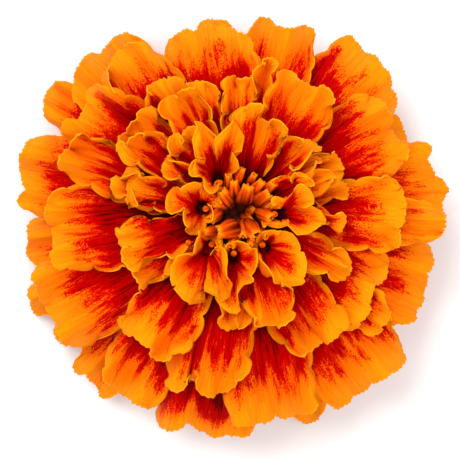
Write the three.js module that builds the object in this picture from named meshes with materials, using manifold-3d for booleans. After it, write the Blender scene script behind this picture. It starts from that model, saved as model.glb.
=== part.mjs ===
// The head of a double French marigold, picked just below its green cup and set down face up.
// Ray petals fan out in layers from a core of floret tubes, six of the innermost are open trumpets with a
// style in the throat, a nest of small disc florets closes the middle, and a ribbed cup of fused bracts
// holds them all. The lowest petals droop until their tips lie on the surface, beside the cut stalk.
// Units are millimetres and degrees, +Z is up, and the origin is on the surface under the head.
import * as THREE from "three";
import { mergeVertices } from "three/addons/utils/BufferGeometryUtils.js";
import Module from "manifold-3d";

const wasm = await Module();
wasm.setup();

// ---------- Sizes ----------
const AXIS = [0.7, 2.3]; // where the head's own axis stands: its petals reach further forward and left
const BLADE = 0.6; // thickness of a petal
const CLEARANCE = 0.95; // between the middles of petals that lie on one another
const GRID = 24; // steps across and along each petal
const CELL = 1; // side of a cell of the record of how high the settled petals stand

// Each level of petals: level, root radius, root height, slope at the root and slope at the tip.
const LEVELS = [
  [-0.5, 6.0, 11.2, 4, -67],
  [0, 6.0, 11.8, 8, -48],
  [1, 6.0, 13.0, 18, -36],
  [2, 5.8, 14.4, 26, -30],
  [3, 5.4, 15.8, 36, -24],
  [4, 5.0, 17.2, 47, -18],
  [5, 4.6, 18.4, 58, -8],
  [6, 4.0, 19.4, 66, 0],
];

// The ruffles: size in degrees, how much more a level up, and least and extra waves from middle to side.
const RUFFLE = { size: 20, more: 3.2, waves: 1.3, spread: 0.8 };
const RUFFLE_RAMP = 2.2; // how late along the petal they set in
const CUPPING = 6; // how much the sides of a petal rise for each level above the third, in degrees

// Each ray petal: level, direction, half its spread, then its reach at even steps across the tip.
const RAY_PETALS = [
  // the skirt that shows between the petals above it
  [0, 27, 10, 20.0, 23.7, 24.7, 24.7, 23.7, 20.0],
  [0, 98, 9, 22.0, 25.1, 26.0, 25.1, 22.0],
  [0.3, 126, 8.5, 24.0, 27.6, 28.5, 28.4, 27.6, 24.7],
  [0.2, 149, 8, 25.3, 29.6, 30.1, 30.1, 28.5, 24.7],
  [0.2, 189, 9, 25.3, 27.7, 28.5, 28.5, 28.9, 28.0, 25.3],
  [0, 204, 6.5, 27.3, 30.0, 30.5, 30.3, 28.0],
  [0, 215, 5, 27.3, 29.5, 29.7, 28.0],
  [0.2, 229, 8.5, 27.3, 30.4, 30.1, 30.3, 30.8, 28.7],
  [0, 289, 7.5, 26.7, 28.9, 29.9, 29.5, 26.7],
  // the outline of the head
  [1, 8, 15, 22.7, 27.2, 27.3, 28.1, 26.8, 26.3, 26.7, 24.0],
  [1, 46, 17, 22.7, 25.3, 26.4, 27.1, 27.4, 27.2, 27.6, 23.3],
  [1, 76, 13, 22.0, 25.7, 26.1, 25.2, 25.3, 25.9, 25.1, 22.0],
  [1, 139, 9.5, 25.3, 28.5, 28.9, 28.4, 28.0, 26.7, 23.7],
  [1, 169.5, 12, 26.0, 29.5, 29.7, 29.9, 29.3, 28.8, 29.2, 26.7],
  [1, 238, 11.5, 24.7, 28.0, 28.9, 28.7, 29.1, 29.1, 28.8, 25.3],
  [0.8, 261, 16, 25.3, 30.0, 30.7, 29.2, 29.9, 30.4, 29.9, 29.9, 26.0],
  [1.1, 309, 17, 25.3, 29.1, 29.6, 29.2, 29.1, 29.6, 30.0, 29.6, 26.7, 24.0],
  [0.9, 338, 15, 25.3, 27.6, 27.3, 27.3, 26.8, 26.7, 26.3, 24.0],
  [1.4, 356, 7, 24.0, 27.1, 27.3, 27.3, 24.7],
  [1.5, 99, 17.5, 20.0, 22.7, 23.7, 24.7, 24.9, 24.5, 24.9, 24.7, 21.3],
  [1.6, 208, 15, 24.7, 28.3, 28.9, 28.9, 28.3, 29.1, 29.1, 25.3],
  [1.7, 280, 15, 24.0, 28.1, 28.7, 28.4, 27.7, 28.4, 28.3, 27.9, 24.0],
  // the second layer
  [2, 126, 12.5, 20.0, 24.3, 26.1, 26.3, 26.1, 25.3, 21.3],
  [1.8, 322, 8, 21.3, 24.5, 24.7, 24.1, 22.0],
  [2.2, 29, 18, 19.3, 22.7, 23.5, 23.3, 23.2, 23.7, 23.9, 22.7, 18.7],
  [2, 147, 14.5, 20.0, 24.3, 25.1, 24.8, 24.5, 25.5, 25.2, 21.3],
  [2.2, 187, 16.5, 20.7, 24.8, 25.5, 25.1, 24.8, 25.3, 25.3, 23.7, 19.3],
  [2.6, 357.5, 15, 18.0, 21.5, 21.6, 21.5, 21.9, 22.1, 22.1, 20.0],
  [2.4, 329, 20, 18.7, 21.9, 22.1, 21.3, 20.8, 21.2, 21.1, 20.0, 17.3],
  [2.8, 259.5, 17, 20.0, 24.3, 24.7, 23.3, 24.5, 24.5, 23.7, 21.3, 18.0],
  // the third layer
  [3, 302.5, 15, 18.0, 20.7, 20.8, 20.3, 21.2, 21.3, 20.8, 18.0],
  [3, 162, 11.5, 18.0, 22.4, 23.9, 24.3, 24.1, 22.0, 17.3],
  [3.2, 234, 15.5, 17.3, 21.1, 21.7, 21.9, 21.6, 22.0, 21.7, 20.0],
  [3.2, 60, 16, 16.0, 19.3, 19.7, 19.5, 18.8, 19.3, 19.5, 19.1, 16.0],
  [3, 122, 12, 15.3, 19.3, 19.9, 19.7, 19.9, 19.3, 16.7],
  [3, 79, 5.5, 16.0, 19.6, 20.0, 19.7, 16.7],
  [3.6, 90, 9.5, 14.0, 17.6, 17.2, 17.5, 17.9, 16.3, 13.3],
  [3.4, 107, 7.5, 14.0, 17.6, 17.9, 17.9, 16.0],
  // the fourth layer
  [4, 118, 11.5, 13.3, 16.8, 17.5, 17.6, 17.3, 16.8, 14.0],
  [3.8, 142, 15, 14.0, 17.3, 17.7, 18.3, 18.3, 17.7, 17.6, 14.7],
  [4.4, 147, 11.5, 12.7, 15.7, 16.8, 17.3, 17.5, 16.3, 12.7],
  [4, 166, 12, 12.0, 15.2, 16.1, 16.5, 16.3, 15.5, 12.7],
  [4, 211, 11, 12.7, 15.9, 16.4, 16.4, 16.0, 15.9, 13.3],
  [4, 268, 9.5, 12.0, 14.9, 15.6, 15.7, 15.3, 12.7],
  [4.2, 331, 10.5, 12.7, 15.9, 16.4, 16.3, 15.6, 12.7],
  [4, 12, 9, 11.3, 13.7, 14.1, 14.0, 12.0],
  [4.2, 25, 9, 12.0, 14.4, 15.2, 15.2, 14.7, 12.0],
  // the fifth layer, more upright and more closely ruffled
  [5, 199, 13.5, 11.3, 16.3, 16.7, 15.9, 15.6, 15.7, 15.2, 12.0],
  [5, 168, 12, 10.0, 13.1, 14.3, 15.1, 14.9, 13.9, 10.7],
  [5.6, 227, 9, 10.7, 13.3, 12.5, 12.4, 12.4, 10.4],
  [5, 286.5, 14.5, 11.3, 14.5, 15.1, 14.9, 15.9, 16.4, 16.0, 12.0],
  [5, 354.5, 7.5, 10.0, 12.8, 13.3, 13.5, 12.8, 10.0],
  [5, 18.5, 9, 9.3, 12.0, 12.9, 13.1, 12.3, 9.3],
  [5.3, 46, 11.5, 9.3, 12.8, 13.1, 12.5, 12.7, 11.7, 8.7],
  [5.1, 31, 7.5, 8.7, 11.7, 12.1, 11.9, 9.3],
  [6, 22, 15, 6.4, 8.3, 9.3, 10.0, 9.9, 9.1, 6.7],
  [5.6, 75, 19, 8.7, 12.1, 12.9, 12.7, 11.9, 13.7, 14.1, 13.6, 10.0],
  [5.2, 127, 11.5, 9.3, 12.1, 12.7, 12.4, 12.9, 12.4, 9.6],
  [5.7, 146, 9, 8.3, 11.5, 11.2, 10.8, 10.4, 8.0],
];

// The lowest petals, hidden from above, whose tips lie on the surface: direction and reach.
const RESTING_PETALS = [
  [8, 24.5], [52, 24.0], [76, 22.5], [113, 22.5], [168, 26.5],
  [245, 26.5], [268, 26.0], [309, 26.5], [333, 25.0],
];
const RESTING_TIP = [0.84, 0.97, 1, 0.98, 0.86]; // their reach across the tip, as shares
const RESTING_SPREAD = 11;

// Each trumpet: distance and direction of its throat from the axis, height of the throat, the way its limb
// faces, then its reach from the throat at every 30 degrees, starting behind the throat.
const TRUMPETS = [
  [4.7, 177, 19.9, 177, 1.2, 1.5, 2.2, 3.1, 4.2, 4.4, 3.9, 3.6, 3.7, 2.4, 1.5, 1.2],
  [4.8, 124, 19.6, 97, 1.2, 1.3, 1.5, 1.9, 3.0, 7.2, 8.5, 6.0, 3.2, 1.6, 1.3, 1.2],
  [5.9, 305, 19.6, 315, 1.6, 1.5, 1.5, 1.8, 2.6, 4.9, 6.7, 6.4, 3.6, 3.5, 2.8, 1.8],
  [5.2, 354, 19.7, 0, 1.4, 1.4, 1.4, 1.6, 2.4, 4.3, 6.2, 5.0, 3.5, 2.8, 2.2, 1.6],
  [6.1, 264, 19.3, 268, 2.2, 2.3, 2.4, 2.6, 4.6, 5.0, 6.8, 4.9, 3.2, 2.1, 2.1, 2.2],
  [6.1, 232, 19.1, 255, 1.5, 1.5, 1.6, 2.0, 3.4, 7.2, 8.9, 8.0, 3.6, 1.8, 1.5, 1.5],
];
const THROAT = 0.85; // radius of a trumpet's throat
const TUBE_DEPTH = 2.4; // how far its tube goes down into the core
const TUBE_SLOPE = 84; // slope of the limb where it leaves the tube
const LIMB_SLOPES = [62, -14]; // slope of the limb's edge where it is short, and where it is long
const LONG_LIMB = 6; // reach from which a limb counts as long
const LIMB_RUFFLE = 24;

// Styles: distance and direction from the axis, and height of the knob at the top.
const STYLES = [
  [4.7, 177, 23.2], [4.8, 124, 23.0], [5.9, 305, 22.8], [5.2, 354, 23.0],
  [6.1, 264, 22.6], [6.1, 232, 22.4], [7.4, 190, 23.4], [8.2, 213, 22.8],
];
const STYLE_RADIUS = 0.38;
const STYLE_FOOT = 18.4;

// The core of floret tubes that the petals stand out of, as radius and height.
const CORE = [
  [0, 9.3], [5.0, 9.3], [5.2, 11.3], [9.0, 10.9], [14.0, 9.8], [16.4, 10.6], [17.6, 13.0], [16.2, 16.4],
  [13.6, 18.9], [10.8, 20.2], [8.2, 20.6], [6.0, 19.6], [0, 19.6],
];
const CORE_SIDES = 12;

// The disc florets: small tubes with a flared mouth, set in a spiral, the middle ones lowest.
const DISC = { count: 19, radius: 2.35, top: 21.3, rise: 0.55, base: 20.0, pad: 0.6, padRadius: 2.6 };
const GOLDEN_TURN = Math.PI * (3 - Math.sqrt(5));
const FLORET = { sides: 5, tube: 0.3, mouth: 0.5, dimple: 0.4, lean: 0.12 };

// The green cup of fused bracts on its stub of stalk: radius and height from the cut to the rim and down
// inside, then how much of the rib and how much of the tooth show there.
const CUP = [
  [0, 0, 0, 0], [1.9, 0, 0, 0], [2.1, 0.8, 0, 0], [3.2, 1.7, 0.4, 0], [4.2, 3.2, 1, 0], [4.8, 5.0, 1, 0],
  [5.3, 7.0, 1, 0], [5.9, 8.6, 0.8, 0.2], [6.3, 9.3, 0.4, 1], [5.6, 9.4, 0, 0.4], [5.4, 8.9, 0, 0],
  [0, 8.9, 0, 0],
];
const BRACTS = 7; // fused bracts, each a rib on the cup and a tooth on its rim
const CUP_SIDES = 28;
const RIB = 0.25; // how far a rib stands out
const TOOTH_OUT = 0.5; // how far a tooth leans out
const TOOTH_UP = 1.0; // and stands up

// ---------- Helpers ----------
const rad = THREE.MathUtils.degToRad;
const shares = Array.from({ length: GRID + 1 }, (_, i) => i / GRID);

// The place at a distance and a direction from a centre.
function place(distance, direction, [x, y] = [0, 0]) {
  return [x + distance * Math.cos(rad(direction)), y + distance * Math.sin(rad(direction))];
}

// A repeatable number from 0 to 1 for each number.
function chance(n) {
  const x = Math.sin(n * 127.1) * 43758.5453;
  return x - Math.floor(x);
}

// The value at share t along evenly spaced values, on a smooth curve.
function along(values, t) {
  const last = values.length - 1;
  const x = Math.min(Math.max(t, 0), 1) * last;
  const i = Math.min(Math.floor(x), last - 1);
  const f = x - i;
  const [a, b] = [values[i], values[i + 1]];
  const before = values[Math.max(i - 1, 0)];
  const after = values[Math.min(i + 2, last)];
  const [da, db] = [(b - before) / 2, (after - a) / 2];
  return a + f * da + f * f * (3 * (b - a) - 2 * da - db) + f * f * f * (2 * (a - b) + da + db);
}

// Root radius, root height and slopes of a level, between the rows of LEVELS.
function atLevel(level) {
  const i = Math.min(LEVELS.findLastIndex((row) => row[0] <= level), LEVELS.length - 2);
  const [low, high] = [LEVELS[i], LEVELS[i + 1]];
  const f = (level - low[0]) / (high[0] - low[0]);
  const [, throat, z, slopeIn, slopeOut] = low.map((value, k) => value + f * (high[k] - value));
  return { throat, z, slopeIn, slopeOut };
}

// A solid from a closed geometry, its shared points merged.
function solid(geometry) {
  geometry.deleteAttribute("normal");
  geometry.deleteAttribute("uv");
  const merged = mergeVertices(geometry, 1e-4);
  return new wasm.Manifold(
    new wasm.Mesh({
      numProp: 3,
      vertProperties: new Float32Array(merged.attributes.position.array),
      triVerts: new Uint32Array(merged.index.array),
    }),
  );
}

const join = (solids) => wasm.Manifold.union(solids);

function mesh(name, made, color, roughness) {
  const { numProp, vertProperties, triVerts } = made.getMesh();
  const position = new THREE.BufferAttribute(new Float32Array(vertProperties), numProp);
  const geometry = new THREE.BufferGeometry().setAttribute("position", position);
  geometry.setIndex(new THREE.BufferAttribute(new Uint32Array(triVerts), 1));
  geometry.computeVertexNormals();
  const material = new THREE.MeshStandardMaterial({ color, roughness, metalness: 0, flatShading: true });
  const part = new THREE.Mesh(geometry, material);
  part.name = name;
  return part;
}

// ---------- Petals ----------
// How far a vein at u, from -1 to 1 across the petal, bends up or down at the tip, in degrees.
function ruffle(petal, u) {
  const [size, waves, shift] = petal.ruffle;
  return size * Math.sin(Math.PI * waves * u + shift);
}

// The line of the vein at u as distances from the petal's centre and heights, as long as its reach asks.
function vein(petal, u) {
  const { throat, z, slopeIn, slopeOut, cup } = petal;
  const ends = petal.ends ? petal.ends(u) : slopeOut;
  const run = [0];
  const rise = [0];
  for (let k = 0; k < GRID; k++) {
    const s = (k + 0.5) / GRID;
    const bend = slopeIn + (ends - slopeIn) * s + cup * u * u * (1 - s);
    const slope = bend + ruffle(petal, u) * s ** RUFFLE_RAMP;
    run.push(run[k] + Math.cos(rad(slope)));
    rise.push(rise[k] + Math.sin(rad(slope)));
  }
  const scale = (petal.reach(u) - throat) / run[GRID];
  return run.map((r, k) => [throat + r * scale, z + rise[k] * scale]);
}

// How wide a petal is at share s of its length, as a share of its full spread seen from the axis.
function widen(petal, s) {
  if (petal.closed) return 1;
  const tip = petal.reach(0);
  const here = petal.throat + (tip - petal.throat) * s;
  return ((0.15 + 0.85 * Math.sin((Math.PI / 2) * s) ** 1.3) * tip) / here;
}

// The middle surface of a petal, measured from the head's axis: a line of points for each vein.
function middle(petal) {
  return shares.map((across) => {
    const u = 2 * across - 1;
    const line = vein(petal, u);
    return shares.map((s, j) => {
      const [out, z] = line[j];
      const direction = petal.heading + petal.spread * u * widen(petal, s);
      return new THREE.Vector3(...place(out, direction, petal.centre), z);
    });
  });
}

// The cell of the record of settled petals that a point falls in.
const cellOf = (p) => Math.round(p.x / CELL) * 1000 + Math.round(p.y / CELL);

// Each value of a grid replaced by one worked out from it and the values beside it.
function filtered(grid, closed, work) {
  const n = grid.length;
  return grid.map((line, i) =>
    line.map((_, j) => {
      const near = [];
      for (let a = i - 1; a <= i + 1; a++)
        for (let b = j - 1; b <= j + 1; b++) {
          const row = closed ? (a + n - 1) % (n - 1) : Math.min(Math.max(a, 0), n - 1);
          near.push(grid[row][Math.min(Math.max(b, 0), GRID)]);
        }
      return work(near);
    }),
  );
}

const most = (near) => Math.max(...near);
const mean = (near) => near.reduce((sum, value) => sum + value, 0) / near.length;

// Raises a petal until it lies clear above the petals already settled.
function settle(petal, points, record) {
  let need = points.map((line) =>
    line.map((p, j) => {
      const under = record.get(cellOf(p)) ?? -Infinity;
      const fade = THREE.MathUtils.smoothstep(j / GRID, 0.05, 0.45);
      return fade * Math.max(0, under + CLEARANCE - p.z);
    }),
  );
  need = filtered(filtered(filtered(need, petal.closed, most), petal.closed, mean), petal.closed, mean);
  return points.map((line, i) =>
    line.map((p, j) => {
      const at = new THREE.Vector3(p.x, p.y, Math.max(p.z + need[i][j], BLADE / 2));
      if (at.z > (record.get(cellOf(at)) ?? -Infinity)) record.set(cellOf(at), at.z);
      return at;
    }),
  );
}

// A solid blade round a middle surface, split alike on both faces. A closed one is a tube.
function blade(veins, closed) {
  const [m, n] = [closed ? veins.length - 1 : veins.length, veins[0].length];
  const at = (i, j) => veins[closed ? (i + m) % m : Math.min(Math.max(i, 0), m - 1)][j];
  const points = [];
  for (const side of [1, -1]) {
    for (let i = 0; i < m; i++) {
      for (let j = 0; j < n; j++) {
        const along = at(i, Math.min(j + 1, n - 1)).clone().sub(at(i, Math.max(j - 1, 0)));
        const across = at(i + 1, j).clone().sub(at(i - 1, j));
        const normal = along.cross(across).normalize();
        points.push(at(i, j).clone().addScaledVector(normal, (side * BLADE) / 2));
      }
    }
  }
  const under = m * n;
  const index = [];
  const quad = (a, b, c, d) => index.push(a, b, c, a, c, d);
  const cells = closed ? m : m - 1;
  for (let i = 0; i < cells; i++) {
    const next = (i + 1) % m;
    for (let j = 0; j < n - 1; j++) {
      const [a, b, c, d] = [i * n + j, i * n + j + 1, next * n + j + 1, next * n + j];
      index.push(a, b, c, a, c, d);
      index.push(under + a, under + c, under + b, under + a, under + d, under + c);
    }
    const [root, rootNext, tip, tipNext] = [i * n, next * n, i * n + n - 1, next * n + n - 1];
    quad(root, rootNext, under + rootNext, under + root);
    quad(tipNext, tip, under + tip, under + tipNext);
  }
  for (let j = 0; j < n - 1 && !closed; j++) {
    const last = (m - 1) * n + j;
    quad(j + 1, j, under + j, under + j + 1);
    quad(last, last + 1, under + last + 1, under + last);
  }
  return solid(new THREE.BufferGeometry().setFromPoints(points).setIndex(index));
}

// The ruffles of petal number n: their size in degrees, waves from the middle to a side, and shift.
function ruffleOf(n, level) {
  const size = RUFFLE.size + RUFFLE.more * Math.max(level, 0);
  return [size, RUFFLE.waves + RUFFLE.spread * chance(n), 2 * Math.PI * chance(n + 0.3)];
}

function rayPetal([level, heading, spread, ...reaches], n) {
  const petal = { ...atLevel(level), level, heading, spread, centre: [0, 0], ruffle: ruffleOf(n, level) };
  petal.reach = (u) => along(reaches, (u + 1) / 2);
  petal.cup = CUPPING * Math.max(level - 3, 0);
  petal.cells = level < 1 ? 4 : 6;
  return petal;
}

function restingPetal([heading, reach], n) {
  const reaches = RESTING_TIP.map((share) => share * reach);
  return rayPetal([-0.5, heading, RESTING_SPREAD, ...reaches], n);
}

function trumpet([distance, direction, z, heading, ...reaches], n) {
  const centre = place(distance, direction);
  const petal = { level: 7, closed: true, centre, throat: THROAT, z, heading, spread: 180, cup: 0 };
  petal.slopeIn = TUBE_SLOPE;
  petal.ruffle = [LIMB_RUFFLE, 3, 2 * Math.PI * chance(n)];
  const ring = [...reaches, reaches[0]];
  petal.reach = (u) => along(ring, (u + 1) / 2);
  petal.ends = (u) => {
    const long = Math.min(petal.reach(u), LONG_LIMB);
    return THREE.MathUtils.mapLinear(long, 1, LONG_LIMB, ...LIMB_SLOPES);
  };
  petal.cells = 8;
  return petal;
}

// The blade of a settled petal, from a few of its veins and a few points along each.
function petalBlade(petal, points) {
  const rows = petal.closed ? [0, 8, 16, 24] : [petal.level > 3 ? 0 : 4, 11, 18, 24];
  const every = GRID / petal.cells;
  const veins = points.filter((_, i) => i % every === 0).map((line) => rows.map((j) => line[j]));
  const placed = veins.map((line) => line.map((p) => new THREE.Vector3(p.x + AXIS[0], p.y + AXIS[1], p.z)));
  if (petal.closed) {
    for (const line of placed) {
      const root = line[0].clone();
      root.z -= TUBE_DEPTH;
      line.unshift(root);
    }
  }
  return blade(placed, petal.closed);
}

function style([distance, direction, top]) {
  const height = top - STYLE_FOOT;
  const r = STYLE_RADIUS;
  const profile = [
    [0, 0], [r, 0], [0.8 * r, height - 1.2], [1.3 * r, height - 0.6], [0.9 * r, height - 0.1], [0, height],
  ];
  const geometry = new THREE.LatheGeometry(profile.map((p) => new THREE.Vector2(...p)), 6);
  geometry.rotateX(Math.PI / 2);
  return solid(geometry.translate(...place(distance, direction, AXIS), STYLE_FOOT));
}

function lathe(profile, sides) {
  const geometry = new THREE.LatheGeometry(profile.map((p) => new THREE.Vector2(...p)), sides);
  geometry.rotateX(Math.PI / 2);
  return geometry.translate(...AXIS, 0);
}

// A closed solid from rings of points, the first and the last ring a single point.
function ringed(rings) {
  const points = rings.flat();
  const index = [];
  let start = 0;
  rings.slice(1).forEach((ring, k) => {
    const [low, high] = [rings[k].length, ring.length];
    const next = start + low;
    const sides = Math.max(low, high);
    for (let i = 0; i < sides; i++) {
      const j = (i + 1) % sides;
      if (low > 1) index.push(start + i, start + j, next + (high > 1 ? i : 0));
      if (high > 1) index.push(next + j, next + i, start + (low > 1 ? j : 0));
    }
    start = next;
  });
  return solid(new THREE.BufferGeometry().setFromPoints(points).setIndex(index));
}

// ---------- Pieces ----------
function rayPetals() {
  const petals = [
    ...RAY_PETALS.map(rayPetal),
    ...RESTING_PETALS.map((row, n) => restingPetal(row, n + RAY_PETALS.length)),
    ...TRUMPETS.map(trumpet),
  ];
  const record = new Map();
  const order = petals.map((petal, n) => n).sort((a, b) => petals[a].level - petals[b].level || a - b);
  const blades = [];
  for (const n of order) blades[n] = petalBlade(petals[n], settle(petals[n], middle(petals[n]), record));
  return [solid(lathe(CORE, CORE_SIDES)), ...blades, ...STYLES.map(style)];
}

// Disc floret number n.
function discFloret(n) {
  const share = Math.sqrt((n + 0.3) / DISC.count);
  const angle = n * GOLDEN_TURN + 0.4 * chance(n);
  const out = new THREE.Vector3(Math.cos(angle), Math.sin(angle), 0);
  const foot = out.clone().multiplyScalar(DISC.radius * share).add(new THREE.Vector3(...AXIS, DISC.base));
  const top = DISC.top + DISC.rise * out.length() * share * 2 + 0.5 * chance(n + 0.5);
  const at = (z) => foot.clone().addScaledVector(out, FLORET.lean * (z - DISC.base)).setZ(z);
  const ring = (z, r) =>
    Array.from({ length: FLORET.sides }, (_, i) => {
      const turn = angle + (i * 2 * Math.PI) / FLORET.sides;
      return at(z).add(new THREE.Vector3(r * Math.cos(turn), r * Math.sin(turn), 0));
    });
  return ringed([
    [at(DISC.base + 0.2)],
    ring(DISC.base + 0.2, FLORET.tube),
    ring(top - 0.6, FLORET.tube),
    ring(top, FLORET.mouth),
    [at(top - FLORET.dimple)],
  ]);
}

function discFlorets() {
  const pad = new THREE.CylinderGeometry(DISC.padRadius, DISC.padRadius - 0.2, DISC.pad, 16);
  pad.rotateX(Math.PI / 2).translate(...AXIS, DISC.base + DISC.pad / 2);
  return [solid(pad), ...Array.from({ length: DISC.count }, (_, n) => discFloret(n))];
}

function cupAndStalk() {
  const rings = CUP.map(([r, z, rib, tooth]) => {
    if (r === 0) return [new THREE.Vector3(...AXIS, z)];
    return Array.from({ length: CUP_SIDES }, (_, i) => {
      const turn = (i * 2 * Math.PI) / CUP_SIDES;
      const wave = Math.cos(BRACTS * turn);
      const out = r + RIB * rib * wave + TOOTH_OUT * tooth * Math.max(wave, 0);
      const up = z + TOOTH_UP * tooth * Math.max(wave, 0);
      return new THREE.Vector3(AXIS[0] + out * Math.cos(turn), AXIS[1] + out * Math.sin(turn), up);
    });
  });
  return ringed(rings);
}

const group = new THREE.Group();
group.name = "marigold_head";
group.add(
  mesh("ray_petals", join(rayPetals()), 0xf07010, 0.6),
  mesh("disc_florets", join(discFlorets()), 0xb8480c, 0.7),
  mesh("cup_and_stalk", cupAndStalk(), 0x5c7a2e, 0.6),
);
export default group;
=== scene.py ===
# %% [markdown]
# # A double French marigold head
#
# The real object is a flower head picked just under its green cup and set down face up. Its look comes from
# three things: dozens of broad, thin petals that lie over one another in layers, margins that ruffle and are
# finely toothed, and orange petals with a crimson blotch that is combed out along the veins. So this lesson
# spends its effort there. Every petal is a flat grid bent by one formula, and one shader paints them all.
#
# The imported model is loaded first. It is the frame: nothing here moves or resizes it.

# %% Load the frame
import math

import bmesh
import bpy
import numpy as np
from mathutils import Matrix, Vector


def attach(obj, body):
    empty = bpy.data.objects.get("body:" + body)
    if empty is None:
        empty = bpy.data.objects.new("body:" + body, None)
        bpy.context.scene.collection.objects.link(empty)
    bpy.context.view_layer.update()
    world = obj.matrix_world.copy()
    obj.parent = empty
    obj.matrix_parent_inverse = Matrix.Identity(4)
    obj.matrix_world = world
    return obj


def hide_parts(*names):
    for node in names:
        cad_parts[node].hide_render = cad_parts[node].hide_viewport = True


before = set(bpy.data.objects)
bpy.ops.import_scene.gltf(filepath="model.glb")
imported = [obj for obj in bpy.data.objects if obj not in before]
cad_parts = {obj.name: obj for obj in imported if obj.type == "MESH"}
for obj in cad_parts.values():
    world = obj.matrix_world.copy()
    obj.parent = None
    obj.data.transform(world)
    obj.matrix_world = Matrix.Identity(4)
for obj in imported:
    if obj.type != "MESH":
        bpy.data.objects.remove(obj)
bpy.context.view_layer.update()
MM = 0.001  # the tables below are in millimetres, and Blender works in metres

# %% [markdown]
# ## Camera, floor and light
#
# The head is looked at from straight above, through a long lens, so that high and low petals keep their
# sizes. The picture is 61.3 mm wide at the height of the outer petals. Everything stands on a white floor in
# the light of a white tent: a bright sky all round, and one large soft lamp from the upper left that gives
# each margin a small shadow.

# %% Camera
PICTURE_WIDTH = 61.33
PICTURE_CENTRE = (-0.4, -0.27)
FOCUS_Z = 9.0  # height of the outer petals' margins
CAMERA_AWAY = 1000.0
SENSOR = 36.0  # width of the camera's sensor
CLIPPING = (0.01, 20)  # what is nearer or farther isn't drawn, in metres

camera = bpy.data.objects.new("camera", bpy.data.cameras.new("camera"))
bpy.context.scene.collection.objects.link(camera)
camera.location = Vector((*PICTURE_CENTRE, FOCUS_Z + CAMERA_AWAY)) * MM
camera.data.sensor_width = SENSOR
camera.data.lens = SENSOR * CAMERA_AWAY / PICTURE_WIDTH
camera.data.clip_start, camera.data.clip_end = CLIPPING
bpy.context.scene.camera = camera
bpy.context.scene.view_settings.view_transform = "Standard"
print("lens of", round(camera.data.lens), "mm")

# %% Floor and lamps
SKY = 0.7
WHITE = (1, 1, 1, 1)
FLOOR_HALF = 3000  # half the side of the floor
FLOOR_WHITE = (0.93, 0.93, 0.93, 1)
FLOOR_ROUGHNESS = 0.9
LAMPS = {  # name: place in mm, size in mm, power in watts
    "key_lamp": ((-360, 390, 860), 800, 8.6),
    "fill_lamp": ((420, -340, 760), 900, 3.8),
}


def white_floor():
    bm = bmesh.new()
    bmesh.ops.create_grid(bm, x_segments=1, y_segments=1, size=FLOOR_HALF * MM)
    mesh = bpy.data.meshes.new("floor")
    bm.to_mesh(mesh)
    bm.free()
    floor = bpy.data.objects.new("floor", mesh)
    bpy.context.scene.collection.objects.link(floor)
    paper = bpy.data.materials.new("white_paper")
    paper.use_nodes = True
    surface = paper.node_tree.nodes["Principled BSDF"]
    surface.inputs["Base Color"].default_value = FLOOR_WHITE
    surface.inputs["Roughness"].default_value = FLOOR_ROUGHNESS
    mesh.materials.append(paper)


def lamp(name, place, size, power):
    light = bpy.data.lights.new(name, "AREA")
    light.shape = "DISK"
    light.size = size * MM
    light.energy = power
    lamp_object = bpy.data.objects.new(name, light)
    bpy.context.scene.collection.objects.link(lamp_object)
    lamp_object.location = Vector(place) * MM
    lamp_object.rotation_euler = (-Vector(place)).to_track_quat("-Z", "Y").to_euler()


white_floor()
for lamp_name, settings in LAMPS.items():
    lamp(lamp_name, *settings)
world = bpy.data.worlds.new("tent")
world.use_nodes = True
sky = world.node_tree.nodes["Background"]
sky.inputs["Color"].default_value = WHITE
sky.inputs["Strength"].default_value = SKY
bpy.context.scene.world = world
print("lamps:", ", ".join(LAMPS))

# %% [markdown]
# ## The plan of the head
#
# A marigold has no drawing, but it has a plan. Each petal belongs to a level, which says where its root sits
# on the core and how steeply it leaves and ends: the low levels droop to the floor, the high ones stand up.
# The petals themselves are placed one by one, by their direction, their half spread and how far their margin
# reaches at even steps across. These are the sizes that the solid model has too, but for one petal of the
# fifth layer, which is a little lower here so that it passes under the trumpet floret above it.

# %% Levels and petals
AXIS = (0.7, 2.3)  # where the head's own axis stands
BLADE = 0.6  # thickness of a petal in the solid model
CLEARANCE = 0.95  # between the middles of petals that lie on one another
GRID = 24  # steps along each petal, and across it while it settles

# level: root radius, root height, slope at the root and slope at the tip
LEVELS = {
    -0.5: (6.0, 11.2, 4, -67), 0: (6.0, 11.8, 8, -48), 1: (6.0, 13.0, 18, -36), 2: (5.8, 14.4, 26, -30),
    3: (5.4, 15.8, 36, -24), 4: (5.0, 17.2, 47, -18), 5: (4.6, 18.4, 58, -8), 6: (4.0, 19.4, 66, 0),
}
RUFFLE = {"size": 20, "more": 3.2}  # in degrees, and how much more for each level
RUFFLE_WAVES = (1.3, 0.8)  # least number of them, and how many more are drawn
RUFFLE_RAMP = 2.2  # how late along the petal the ruffles set in
CUPPING = 6  # how much the sides of a petal rise for each level above the third, in degrees

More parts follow.
